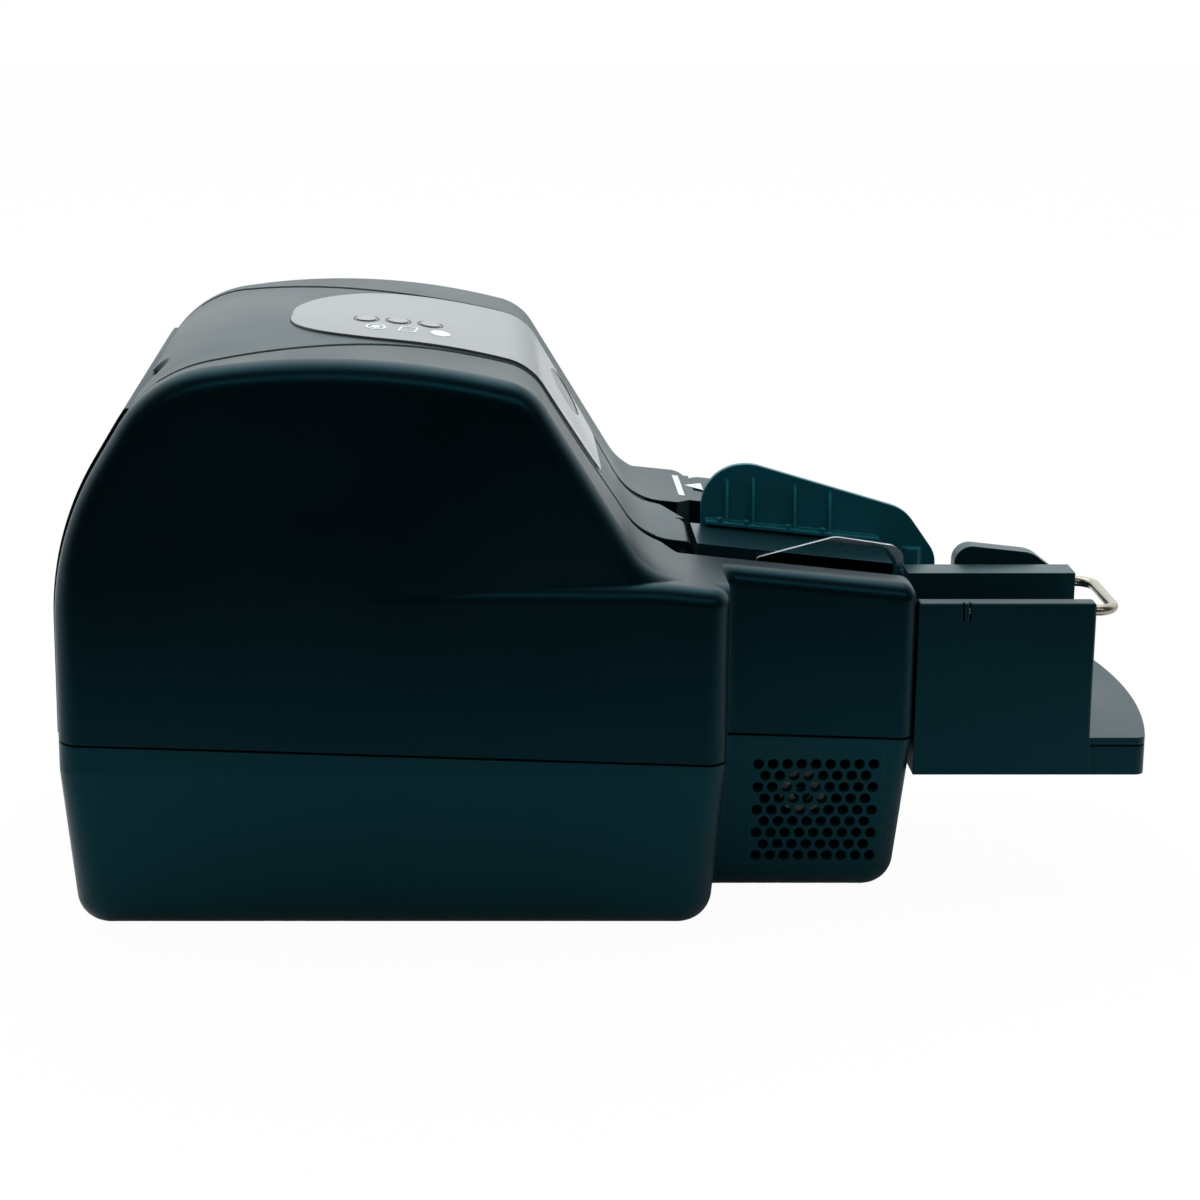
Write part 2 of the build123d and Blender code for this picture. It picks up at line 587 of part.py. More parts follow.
def base_shell():
    """The base pan before the grille wall is taken out."""
    solid = base_form(0.0, FOOT_HEIGHT, BASE_EDGE_RADIUS)
    solid = solid - base_form(WALL, BASE_FLOOR_Z, BASE_EDGE_RADIUS - BASE_THICK)
    solid = solid - above_parting()
    for x, y in BASE_BOSSES:
        solid = solid + post(x, y, BASE_FLOOR_Z - 0.5, CHASSIS_Z, BOSS_RADIUS)
    for side in (-1, 1):
        x = FAN_X + side * FAN_CRADLE_X
        half = FAN_CRADLE_RIB / 2
        solid = solid + block(x - half, x + half, *FAN_Y, BASE_FLOOR_Z - 0.5, FAN_FOOT_Z)
    x0, x1, y0, y1 = BOARD_BOX
    for x in (x0 + 5, x1 - 5):
        for y in (y0 + 5, y1 - 5):
            solid = solid + post(x, y, BASE_FLOOR_Z - 0.5, BOARD_Z, 3.0)
    for x, y in BASE_BOSSES:
        solid = solid - post(x, y, 0, CHASSIS_Z + 1, SCREW_RADIUS)
        solid = solid - post(x, y, 0, CHASSIS_Z - SCREW_GRIP, SCREW_HEAD_RADIUS + SCREW_HEAD_GAP)
    for y, width, height in ((USB_Y, USB_WIDTH, USB_HEIGHT), (JACK_Y, JACK_WIDTH, JACK_HEIGHT)):
        half = width / 2 + FIT_GAP
        z0, z1 = SOCKET_Z - FIT_GAP, SOCKET_Z + height + FIT_GAP
        solid = solid - block(-FAR_X, SOCKET_FRONT_X, y - half, y + half, z0, z1)
    notch = TONGUE_HALF + FIT_GAP
    z0 = CHASSIS_Z - TONGUE_THICK - FIT_GAP
    return solid - block(FRONT_X - 8, FRONT_X + 1, -notch, notch, z0, CHASSIS_Z)


def base_and_grille():
    """The base pan and the perforated wall let into it."""
    shell = base_shell()
    panel = (shell & grille_box()).solids().sort_by(SortBy.VOLUME)[-1]
    panel = panel - Compound(children=grille_holes())
    return (shell - grille_box()).solids().sort_by(SortBy.VOLUME)[-1], panel


def feet():
    """Four soft round feet."""
    discs = [post(x, y, 0, FOOT_HEIGHT, FOOT_RADIUS) for x, y in FOOT_SPOTS]
    return [chamfer(d.edges().sort_by(Axis.Z)[:1], 0.5) for d in discs]


def base_screws():
    """The screws that hold the chassis plate, put in from below through the bosses."""
    seat = CHASSIS_Z - SCREW_GRIP
    return [post(x, y, seat - SCREW_HEAD_HEIGHT, seat, SCREW_HEAD_RADIUS)
            + post(x, y, seat, FLOOR_Z - 0.5, SCREW_RADIUS) for x, y in BASE_BOSSES]


def main_board():
    """The circuit board in the base, with its sockets' neighbours left to the surface detail."""
    x0, x1, y0, y1 = BOARD_BOX
    board = block(x0, x1, y0, y1, BOARD_Z, BOARD_Z + BOARD_THICK)
    chip = block(-112, -98, -8, 6, SOCKET_Z, SOCKET_Z + 1.6)
    return board + chip


def usb_socket():
    """Square data socket: a shell with its contact tongue."""
    y0, y1 = USB_Y - USB_WIDTH / 2, USB_Y + USB_WIDTH / 2
    z1 = SOCKET_Z + USB_HEIGHT
    shell, side = 1.2, 1.4
    solid = block(SOCKET_REAR_X, SOCKET_FRONT_X, y0, y1, SOCKET_Z, z1)
    solid = solid - block(SOCKET_REAR_X - 1, SOCKET_FRONT_X - 4, y0 + side, y1 - side,
                          SOCKET_Z + shell, z1 - shell)
    return solid + block(SOCKET_REAR_X + 1.5, SOCKET_FRONT_X - 3, USB_Y - 2.6, USB_Y + 2.6,
                         SOCKET_Z + shell + 0.4, SOCKET_Z + shell + 3.2)


def power_jack():
    """Round power inlet with its centre pin."""
    y0, y1 = JACK_Y - JACK_WIDTH / 2, JACK_Y + JACK_WIDTH / 2
    z = SOCKET_Z + JACK_HEIGHT / 2
    solid = block(SOCKET_REAR_X, SOCKET_FRONT_X, y0, y1, SOCKET_Z, SOCKET_Z + JACK_HEIGHT)
    solid = solid - rod_x(JACK_Y, z, SOCKET_REAR_X - 1, SOCKET_FRONT_X - 5, 3.2)
    return solid + rod_x(JACK_Y, z, SOCKET_REAR_X + 1, SOCKET_FRONT_X - 4, 1.0)


def fan_frame():
    """Square fan housing with its motor seat on three struts."""
    x0, x1 = FAN_X - FAN_SIZE / 2, FAN_X + FAN_SIZE / 2
    solid = block(x0, x1, *FAN_Y, FAN_FOOT_Z, FAN_FOOT_Z + FAN_SIZE)
    solid = solid - rod_y(FAN_X, FAN_Z, FAN_Y[0] - 1, FAN_Y[1] + 1, FAN_BORE)
    seat_y = FAN_Y[1] - 1.5
    solid = solid + rod_y(FAN_X, FAN_Z, seat_y, FAN_Y[1], FAN_HUB)
    for turn in range(3):
        strut = block(FAN_HUB - 1, FAN_BORE + 0.8, seat_y, FAN_Y[1], -1, 1)
        solid = solid + Pos(FAN_X, 0, FAN_Z) * Rot(0, turn * 120, 0) * strut
    solid = solid + rod_y(FAN_X, FAN_Z, FAN_Y[0] + 3, FAN_Y[1], PIN_RADIUS)
    return solid


def fan_rotor():
    """Fan hub with its pitched blades, closed towards the grille."""
    y0, y1 = FAN_Y[0] + 0.6, FAN_Y[1] - 2.0
    hub = rod_y(FAN_X, FAN_Z, y0, y1, FAN_HUB)
    hub = fillet(hub.edges().filter_by(GeomType.CIRCLE).sort_by(Axis.Y)[:1], 1.0)
    blade = block(FAN_HUB - 0.6, FAN_BORE - 0.6, -BLADE_CHORD / 2, BLADE_CHORD / 2,
                  -BLADE_THICK / 2, BLADE_THICK / 2)
    for turn in range(FAN_BLADES):
        place = Pos(FAN_X, (y0 + y1) / 2, FAN_Z) * Rot(0, turn * 360 / FAN_BLADES, 0)
        hub = hub + place * Rot(BLADE_PITCH, 0, 0) * blade
    return hub - rod_y(FAN_X, FAN_Z, y0 + 2, y1 + 1, PIN_RADIUS + BORE_CLEARANCE)


# ---- document track -------------------------------------------------------------------------
CHASSIS_GAP = 0.5
ROLLER_SPOTS = ((FRONT_DRIVE_X, -1), (FRONT_DRIVE_X, 1), (REAR_DRIVE_X, -1), (REAR_DRIVE_X, 1))
DRIVE_Y = ISLAND_HALF + ROLLER_PROUD - ROLLER_RADIUS
PINCH_Y = ISLAND_HALF + ROLLER_PROUD + NIP_GAP + PINCH_RADIUS
FEED_Y = ISLAND_HALF + ROLLER_PROUD - 0.6 + FEED_RADIUS
FEED_X = FRONT_DRIVE_X + math.sqrt((GEAR_TEETH * GEAR_MODULE) ** 2 - (FEED_Y - DRIVE_Y) ** 2)
SEPARATOR_Y = FEED_Y - FEED_RADIUS - NIP_GAP - SEPARATOR_RADIUS
PICK_RADIUS = 6.5
PICK_Y = HOPPER_FAR_Y + 5.0
FEED_PULLEY_RADIUS = 4.5
BUSH_RADIUS = 3.6
BUSH_FLANGE = 0.8
GUIDE_DEPTH = LIP_DEPTH + 0.4
BAND_ROOM = 0.8           # a window stands this far clear of its roller
WINDOW_Z = (TYRE_BANDS[0][0] - 1.5, TYRE_BANDS[1][0] + TYRE_BANDS[1][1] + 1.5)
CAMERA_X = (-51.0, -34.0)
CAMERA_Z = (FLOOR_Z + 2.0, FLOOR_Z + 80.0)
CAMERA_DEPTH = 12.0
GLASS_THICK = 1.5
GLASS_EDGE = 2.0
HEAD_X = (-31.5, -24.5)
MAGNET_X = (16.2, 20.4)
HEAD_Z = (FLOOR_Z + 1.0, FLOOR_Z + 14.0)
HOLDER_X = (-57.0, -28.0)
HOLDER_Y = (-17.0, 12.0)
HOLDER_Z = (60.0, 110.0)
HOLDER_WALL = 1.8
HOLDER_LEG_INSET, HOLDER_LEG_RADIUS = 6.0, 3.0
CARTRIDGE_TOP_Z = 122.0
CARTRIDGE_GAP = 0.4
MOTOR_X, MOTOR_Y = -46.0, DRIVE_Y
MOTOR_RADIUS = 14.0
MOTOR_Z = (BASE_FLOOR_Z, 37.0)


def shaft_spots():
    """Where a turning shaft passes through the chassis plate."""
    return [(x, side * DRIVE_Y) for x, side in ROLLER_SPOTS] + [(FEED_X, FEED_Y), (PICK_X, PICK_Y)]


def chassis_floor():
    """The plate that carries the track, and along which the lower edges of the documents run."""
    inset = WALL + draft_at(CHASSIS_Z) + CHASSIS_GAP
    plate = upright(base_plan(inset), CHASSIS_Z, FLOOR_Z)
    for x, y in shaft_spots():
        plate = plate - post(x, y, 0, FLOOR_Z + 1, BUSH_RADIUS)
    for x, y in BASE_BOSSES:
        plate = plate - post(x, y, 0, FLOOR_Z + 1, SCREW_RADIUS)
    return plate


def bushes():
    """Flanged bushes, one for each shaft, pressed into the chassis plate."""
    rings = []
    for x, y in shaft_spots():
        ring = post(x, y, CHASSIS_Z, FLOOR_Z, BUSH_RADIUS)
        ring = ring + post(x, y, CHASSIS_Z - BUSH_FLANGE, CHASSIS_Z, BUSH_RADIUS + 1)
        rings.append(ring - post(x, y, 0, FLOOR_Z + 1, SHAFT_RADIUS + BORE_CLEARANCE))
    return rings


def stadium(half, front_x):
    """Plan of the island: a straight bar with a round rear end."""
    bar = Pos((TURN_X + front_x) / 2, 0) * Rectangle(front_x - TURN_X, 2 * half)
    return bar + Pos(TURN_X, 0) * Circle(half)


def island_plan():
    """The island's plan, with its far front corner cut away and its near one rounded."""
    x0, x1 = ISLAND_FRONT_X - ISLAND_CUT[0], ISLAND_FRONT_X
    face = stadium(ISLAND_HALF, ISLAND_FRONT_X) - make_face(Polyline(
        (x0, ISLAND_HALF + 1), (x1 + 1, ISLAND_HALF + 1), (x1 + 1, ISLAND_HALF - ISLAND_CUT[1]),
        (x1, ISLAND_HALF - ISLAND_CUT[1]), (x0, ISLAND_HALF), close=True))
    return corner(face, ISLAND_FRONT_X, -ISLAND_HALF, 3.0)


def window(x, y, radius, face_y, bands):
    """Openings through the guide wall at face_y for a roller standing behind or before it."""
    reach = abs(face_y - y) - GUIDE_WALL if abs(face_y - y) > GUIDE_WALL else 0.0
    half = math.sqrt(max(radius ** 2 - reach ** 2, 1.0)) + BAND_ROOM
    y0, y1 = face_y - GUIDE_WALL - 1, face_y + GUIDE_WALL + 1
    return [block(x - half, x + half, y0, y1, z0, z1) for z0, z1 in bands]


def tyre_bands():
    """Start and end heights of the openings for the drive rollers' bands."""
    return [(z - BAND_ROOM, z + width + BAND_ROOM) for z, width in TYRE_BANDS]


def inner_guide():
    """The island: the track's inner wall, a deck for the upper bearings, and the hinge ear."""
    plan = island_plan()
    low = under_skin(GUIDE_DEPTH) & block(-FAR_X, FAR_X, -WIDTH, WIDTH, FLOOR_Z, GUIDE_TOP_Z)
    wall = upright(plan, FLOOR_Z, GUIDE_TOP_Z) - upright(offset(plan, amount=-GUIDE_WALL), 0, HEIGHT)
    wall = wall & low
    deck = upright(offset(plan, amount=-GUIDE_WALL + 0.2), ISLAND_DECK_Z, ISLAND_DECK_Z + ISLAND_DECK_THICK)
    x0, x1 = HOLDER_X
    deck = deck - block(x0 - FIT_GAP, x1 + FIT_GAP, HOLDER_Y[0] - FIT_GAP, HOLDER_Y[1] + FIT_GAP, 0, HEIGHT)
    solid = wall + deck
    wall_y = ISLAND_HALF - GUIDE_WALL / 2
    for x, side in ROLLER_SPOTS:
        for cut in window(x, side * DRIVE_Y, ROLLER_RADIUS, side * wall_y, tyre_bands()):
            solid = solid - cut
        solid = solid - post(x, side * DRIVE_Y, 0, GUIDE_TOP_Z, SHAFT_RADIUS + BORE_CLEARANCE)
    for cut in window(FEED_X, SEPARATOR_Y, SEPARATOR_RADIUS, ISLAND_HALF - GUIDE_WALL / 2, [WINDOW_Z]):
        solid = solid - cut
    for side in (-1, 1):
        solid = solid - block(*CAMERA_X, side * ISLAND_HALF - 1, side * ISLAND_HALF + 1, *CAMERA_Z)
    shank = block(HINGE_X - 1.2, HINGE_X + 1.0, *EAR_Y, ISLAND_DECK_Z - 1, HINGE_Z)
    ear = shank + rod_y(HINGE_X, HINGE_Z, *EAR_Y, EAR_RADIUS)
    ear = ear - rod_y(HINGE_X, HINGE_Z, *EAR_Y, HINGE_PIN_RADIUS)
    return (solid + ear).solids().sort_by(SortBy.VOLUME)[-1]


def guide_strip(points, side):
    """Plan of an outer guide wall whose inner face runs through points, given with y positive."""
    inner = Polyline(*[(x, side * y) for x, y in points])
    outer = Polyline(*[(x, side * (y + GUIDE_WALL)) for x, y in reversed(points)])
    ends = Line(inner @ 1, outer @ 0) + Line(outer @ 1, inner @ 0)
    return make_face(inner + outer + ends)


def outer_guide(points, side, extra):
    """An outer guide wall with its openings."""
    end_x = FRONT_X - WALL - FIT_GAP
    low = under_skin(GUIDE_DEPTH) & block(-FAR_X, end_x, -WIDTH, WIDTH, FLOOR_Z, GUIDE_TOP_Z)
    solid = upright(guide_strip(points, side), FLOOR_Z, GUIDE_TOP_Z) & low
    for x in (FRONT_DRIVE_X, REAR_DRIVE_X):
        for cut in window(x, side * PINCH_Y, PINCH_RADIUS, side * (LANE_OUT + GUIDE_WALL / 2), [WINDOW_Z]):
            solid = solid - cut
    for cut in extra:
        solid = solid - cut
    y0, y1 = sorted((side * (LANE_OUT - 1), side * (LANE_OUT + GUIDE_WALL + 1)))
    solid = solid - block(CAMERA_X[0] - 0.2, CAMERA_X[1] + 0.2, y0, y1, FLOOR_Z - 1, GUIDE_TOP_Z + 1)
    return solid


def entry_outer_guide():
    """Outer wall of the entry lane and of the hopper."""
    points = [(TURN_X, LANE_OUT), (HOPPER_START_X - 4, LANE_OUT),
              (HOPPER_START_X, HOPPER_FAR_Y), (FRONT_X, HOPPER_FAR_Y)]
    y = LANE_OUT + GUIDE_WALL / 2
    extra = window(FEED_X, FEED_Y, FEED_RADIUS, y, [WINDOW_Z])
    extra += window(PICK_X, PICK_Y, PICK_RADIUS, HOPPER_FAR_Y + GUIDE_WALL / 2, [WINDOW_Z])
    for x0, x1 in (HEAD_X, MAGNET_X):
        extra.append(block(x0 - 0.1, x1 + 0.1, LANE_OUT - 1, LANE_OUT + 4,
                           HEAD_Z[0] - 0.1, HEAD_Z[1] + 0.1))
    return outer_guide(points, 1, extra)


def exit_outer_guide():
    """Outer wall of the exit lane and of the pocket's slot."""
    points = [(TURN_X, LANE_OUT), (POCKET_START_X - 4, LANE_OUT),
              (POCKET_START_X, POCKET_SLOT_Y), (FRONT_X, POCKET_SLOT_Y)]
    return outer_guide(points, -1, [])


def turn_guide():
    """The half-round outer wall of the turn at the rear."""
    ring = Circle(LANE_OUT + GUIDE_WALL) - Circle(LANE_OUT)
    half = Pos(TURN_X, 0) * ring - Pos(TURN_X + 50, 0) * Rectangle(100, 100)
    low = under_skin(GUIDE_DEPTH) & block(-FAR_X, FAR_X, -WIDTH, WIDTH, FLOOR_Z, GUIDE_TOP_Z)
    return upright(half, FLOOR_Z, GUIDE_TOP_Z) & low


DECK_GAP = 0.5            # between the centre deck and the pusher that swings over it
DECK_SIDE = 2.0           # thickness of the centre deck's sides


def deck_block(x0, x1, foot_z, depth):
    """Side view of a block that ends depth below the sloping deck."""
    return make_face(Polyline((x0, foot_z), (x1, foot_z), (x1, deck_z(x1) - depth),
                              (x0, deck_z(x0) - depth), close=True))


def centre_deck():
    """The fixed block between pocket and hopper, hollow from below."""
    outline = deck_block(CENTRE_DECK_X, FRONT_X - WALL - FIT_GAP, FLOOR_Z, 0.0)
    inner = deck_block(CENTRE_DECK_X + WALL, FRONT_X - 2 * WALL - FIT_GAP, FLOOR_Z - 1, WALL)
    solid = between(outline, DIVIDER_NEAR_Y, DIVIDER_FAR_Y)
    return solid - between(inner, DIVIDER_NEAR_Y + DECK_SIDE, DIVIDER_FAR_Y - DECK_SIDE)


# ---- tray, pocket and pusher ----------------------------------------------------------------
TRAY_HALF = 41.5
TRAY_SIDE_X = 146.8
SHELF_THICK = 3.0
SHELF_RIM_Z = 37.2
SHELF_RIM = 2.4
SHELF_LIP = 0.8           # depth of the groove under the shelf's edge
SHELF_LIP_Z = (FLOOR_Z - 2.6, FLOOR_Z - 1.9)
TRAY_CORNER = 3.0
TONGUE_BACK = 12.0        # the tongue reaches this far behind the front face
TONGUE_ROOT = 8.0
PIN_BOSS_RADIUS = 4.0
POCKET_WALL_X = 131.6
POCKET_WALL_Y = (-41.5, -36.3)
POCKET_WALL_TOP_Z = 86.8
POCKET_WALL_END = 1.0     # rounding of its upright edges at the front end
POCKET_WALL_ROUNDING = 0.8
WIRE_RADIUS = 1.5
WIRE_Z = 84.2
WIRE_BORE_GAP = 0.1
WIRE_NEAR_Y = -38.9
WIRE_FAR_Y = -10.3
WIRE_REAR_X = 96.0
WIRE_FRONT_X = 137.6
WIRE_BEND = 5.0
STOP_TRAVEL = 30.0
SLIT_XS = (94.9, 96.7)
SLIT_WIDTH, SLIT_DEPTH, SLIT_LENGTH = 0.6, 1.2, 5.0
DIVIDER_X = 129.8
DIVIDER_Y = (-23.0, -8.0)
DIVIDER_TOP_Z = 90.2
DIVIDER_STEP = 3.0        # behind its near bar the divider is this much lower
DIVIDER_BAR = 9.0
HUMP_Y = (-9.0, -2.0)
CREST_ROUNDING = 2.0
CREST = ((DIVIDER_X, -5.0, 2.0), (DIVIDER_X - 9, 2.0, 8.0), (98.5, 4.5, 5.0))   # x, rise, radius
PUSHER_X, PUSHER_Y = 88.0, 2.6
PUSHER_BARREL = 3.0
PIN_END_GAP = 0.5
PUSHER_Z = (51.0, 91.0)
PUSHER_HALF = 1.0
PUSHER_FOOT_Z = 50.0
PUSHER_CORNERS = ((93.5, 90.5, 6.0), (85.5, 102.5, 8.0), (44.0, 115.2, 12.0), (27.4, 113.6, 6.0))
RIB_XS = (34.2, 41.8, 53.5, 64.0)
RIB_REACH = 4.2
RIB_TOPS = (112.0, 112.5, 111.0, 108.5)
RIB_THICK = 1.6
RIB_LEAN = 1.2
RIB_SHOULDER = 4.0
LEDGE_X = (27.6, 78.0)
LEDGE_THICK = 1.2
PEG_XS = (30.0, 37.5, 47.0, 58.0, 69.0)
PEG_RADIUS, PEG_HEIGHT, PEG_INSET = 1.0, 2.6, 1.4
CLEAR_FOOT_Z = 84.0
CLEAR_THICK = 1.2
CLEAR_CORNERS = ((81.5, 95.0, 2.0), (78.5, 98.0, 3.0), (62.0, 100.5, 5.0), (40.0, 94.5, 1.0))


def tray_plan(inset=0.0):
    """Plan of the shelf, with its shallow round nose."""
    half = TRAY_HALF - inset
    rear = TRAY_REAR_X + inset
    side = TRAY_SIDE_X - inset
    outline = (Polyline((side, half), (rear, half), (rear, -half), (side, -half))
               + ThreePointArc((side, -half), (NOSE_X - inset, 0), (side, half)))
    face = make_face(outline)
    face = corner(face, side, half, TRAY_CORNER)
    return corner(face, side, -half, TRAY_CORNER)


def wall_skirt(top_gap):
    """The pocket wall's skirt, which runs down over the side of the shelf."""
    y0 = POCKET_WALL_Y[0]
    return block(TRAY_REAR_X, POCKET_WALL_X, y0, y0 + SHELF_RIM, SHELF_RIM_Z, FLOOR_Z - top_gap)


def front_tray():
    """The document shelf in front of the body, hollow below, with its tongue under the chassis."""
    solid = upright(tray_plan(), SHELF_RIM_Z, FLOOR_Z)
    solid = solid - upright(tray_plan(SHELF_RIM), SHELF_RIM_Z - 1, FLOOR_Z - SHELF_THICK)
    solid = solid - (upright(tray_plan(), *SHELF_LIP_Z) - upright(tray_plan(SHELF_LIP), 0, FLOOR_Z))
    solid = solid - wall_skirt(0.0)
    tongue = block(FRONT_X - TONGUE_BACK, TRAY_REAR_X + TONGUE_ROOT, -TONGUE_HALF, TONGUE_HALF,
                   CHASSIS_Z - TONGUE_THICK, CHASSIS_Z)
    boss = post(PUSHER_X, PUSHER_Y, SHELF_RIM_Z, FLOOR_Z, PIN_BOSS_RADIUS)
    return solid + tongue + boss - post(PUSHER_X, PUSHER_Y, SHELF_RIM_Z + 1, FLOOR_Z + 1, PIN_RADIUS)


def pocket_wall():
    """The pocket's outer wall on the shelf, with two fine slits and the bore for the stop wire."""
    solid = block(TRAY_REAR_X, POCKET_WALL_X, *POCKET_WALL_Y, FLOOR_Z, POCKET_WALL_TOP_Z)
    solid = fillet(solid.edges().filter_by(Axis.Z).sort_by(Axis.X)[-2:], POCKET_WALL_END)
    solid = fillet(solid.edges().group_by(Axis.Z)[-1], POCKET_WALL_ROUNDING)
    solid = solid + wall_skirt(0.0)
    y0 = POCKET_WALL_Y[0]
    for x in SLIT_XS:
        solid = solid - block(x - SLIT_WIDTH / 2, x + SLIT_WIDTH / 2, y0 - 1, y0 + SLIT_DEPTH,
                              POCKET_WALL_TOP_Z - SLIT_LENGTH, HEIGHT)
    return solid - rod_x(WIRE_NEAR_Y, WIRE_Z, WIRE_REAR_X - 2, POCKET_WALL_X + 1, WIRE_RADIUS + WIRE_BORE_GAP)


def pocket_divider():
    """The block between pocket and hopper on the shelf, with a rounded crest on its far side."""
    step_z = DIVIDER_TOP_Z - DIVIDER_STEP
    solid = block(TRAY_REAR_X, DIVIDER_X, *DIVIDER_Y, FLOOR_Z, step_z)
    near_bar = block(TRAY_REAR_X, DIVIDER_X, DIVIDER_Y[0], DIVIDER_Y[0] + DIVIDER_BAR, step_z, DIVIDER_TOP_Z)
    crest = [(x, DIVIDER_TOP_Z + rise) for x, rise, _ in CREST]
    outline = make_face(Polyline((CREST[-1][0], FLOOR_Z), (CREST[0][0], FLOOR_Z), *crest, close=True))
    for (x, z), (_, _, radius) in zip(crest, CREST):
        outline = corner(outline, x, z, radius)
    hump = between(outline, *HUMP_Y)
    top = [e for e in hump.edges()
           if e.center().Z > DIVIDER_TOP_Z - 4 and abs(e.center().Y - HUMP_Y[1]) < 0.1]
    solid = solid + near_bar + fillet(top, CREST_ROUNDING)
    bore = rod_x(WIRE_FAR_Y, WIRE_Z, WIRE_REAR_X - 2, DIVIDER_X + 1, WIRE_RADIUS + WIRE_BORE_GAP)
    return solid - bore


def pocket_stop_wire():
    """The sliding wire loop that stops the documents in the pocket."""
    path = FilletPolyline((WIRE_REAR_X, WIRE_NEAR_Y), (WIRE_FRONT_X, WIRE_NEAR_Y), (WIRE_FRONT_X, WIRE_FAR_Y),
                          (WIRE_REAR_X, WIRE_FAR_Y), radius=WIRE_BEND)
    path = Pos(0, 0, WIRE_Z) * path
    start = Plane(origin=(WIRE_REAR_X, WIRE_NEAR_Y, WIRE_Z), z_dir=(1, 0, 0))
    return sweep(start * Circle(WIRE_RADIUS), path=path)


def foot_ledge():
    """The narrow ledge along the pusher's foot, over the centre deck, with its row of pegs."""
    x0, x1 = LEDGE_X
    foot0, foot1 = deck_z(x0) + DECK_GAP, deck_z(x1) + DECK_GAP
    outline = make_face(Polyline((x0, foot0), (x1, foot1), (x1, foot1 + LEDGE_THICK),
                                 (x0, foot0 + LEDGE_THICK), close=True))
    ledge = between(outline, PUSHER_Y - RIB_REACH, PUSHER_Y)
    for x in PEG_XS:
        z = deck_z(x) + DECK_GAP
        ledge = ledge + post(x, PUSHER_Y - RIB_REACH + PEG_INSET, z, z + PEG_HEIGHT, PEG_RADIUS)
    return ledge


def pusher_rib(x, top):
    """One of the pusher's ribs, which lean in towards their tops."""
    y, foot_z = PUSHER_Y, deck_z(x) + DECK_GAP
    rib = make_face(Polyline((y, foot_z), (y - RIB_REACH, foot_z),
                             (y - RIB_REACH + RIB_LEAN, top - RIB_SHOULDER), (y, top), close=True))
    return Pos(x, 0, 0) * extrude(Plane.YZ * rib, amount=RIB_THICK / 2, both=True)


def pusher_plate():
    """The sprung pusher flap with its ledge, its four ribs and its hinge barrel."""
    x0, x1 = PUSHER_CORNERS[-1][0], PUSHER_CORNERS[0][0]
    corners = [(x, z) for x, z, _ in PUSHER_CORNERS]
    outline = make_face(Polyline((x0, PUSHER_FOOT_Z), (x1, PUSHER_FOOT_Z), *corners, close=True))
    for x, z, radius in PUSHER_CORNERS:
        outline = corner(outline, x, z, radius)
    plate = between(outline, PUSHER_Y - PUSHER_HALF, PUSHER_Y + PUSHER_HALF) + foot_ledge()
    for x, top in zip(RIB_XS, RIB_TOPS):
        plate = plate + pusher_rib(x, top)
    plate = plate + post(PUSHER_X, PUSHER_Y, *PUSHER_Z, PUSHER_BARREL)
    return plate - post(PUSHER_X, PUSHER_Y, 0, PUSHER_Z[1], PIN_RADIUS + BORE_CLEARANCE)


def pusher_pin():
    """The fixed pin that the pusher turns on."""
    return post(PUSHER_X, PUSHER_Y, SHELF_RIM_Z + 1, PUSHER_Z[1] - PIN_END_GAP, PIN_RADIUS)


def clear_exit_guide():
    """The clear deflector plate beside the exit slot."""
    x0, x1 = CLEAR_CORNERS[-1][0], CLEAR_CORNERS[0][0]
    corners = [(x, z) for x, z, _ in CLEAR_CORNERS]
    outline = make_face(Polyline((x0, CLEAR_FOOT_Z), (x1, CLEAR_FOOT_Z), *corners, close=True))
    for x, z, radius in CLEAR_CORNERS:
        outline = corner(outline, x, z, radius)
    return between(outline, DIVIDER_NEAR_Y - CLEAR_THICK, DIVIDER_NEAR_Y)


# ---- rollers and drive ----------------------------------------------------------------------


def gear(x, y, phase):
    """A spur gear with straight-sided teeth, cut to mesh with its twin."""
    pitch = GEAR_TEETH * GEAR_MODULE / 2
    root, tip = pitch - 1.15 * GEAR_MODULE, pitch + 0.9 * GEAR_MODULE
    body = Circle(root)
    half_root, half_tip = 0.30 * math.pi * GEAR_MODULE, 0.14 * math.pi * GEAR_MODULE
    tooth = make_face(Polyline((root - 0.5, -half_root), (tip, -half_tip),
                               (tip, half_tip), (root - 0.5, half_root), close=True))
    for turn in range(GEAR_TEETH):
        body = body + Rot(0, 0, phase + turn * 360 / GEAR_TEETH) * tooth
    return upright(Pos(x, y) * body, GEAR_Z, GEAR_Z + GEAR_FACE)


def pulley(x, y, radius):
    """A belt pulley."""
    return post(x, y, BELT_Z - 0.5, BELT_Z + PULLEY_FACE + 0.5, radius)


def band_roller(x, y, radius, top_z):
    """A shaft with its two rubber-covered bands."""
    solid = post(x, y, GEAR_Z - 1, top_z, SHAFT_RADIUS)
    for z, width in TYRE_BANDS:
        solid = solid + post(x, y, z, z + width, radius)
    return solid


def mesh_angle():
    """Direction, in degrees, from the front entry roller to the feed roller."""
    return math.degrees(math.atan2(FEED_Y - DRIVE_Y, FEED_X - FRONT_DRIVE_X))


def drive_roller(x, side):
    """One driven roller with its pulley, and the gear on the one that drives the feed."""
    y = side * DRIVE_Y
    solid = band_roller(x, y, ROLLER_RADIUS, ISLAND_DECK_Z + ISLAND_DECK_THICK)
    solid = solid + pulley(x, y, PULLEY_RADIUS)
    if (x, side) == (FRONT_DRIVE_X, 1):
        solid = solid + gear(x, y, mesh_angle())
    return solid


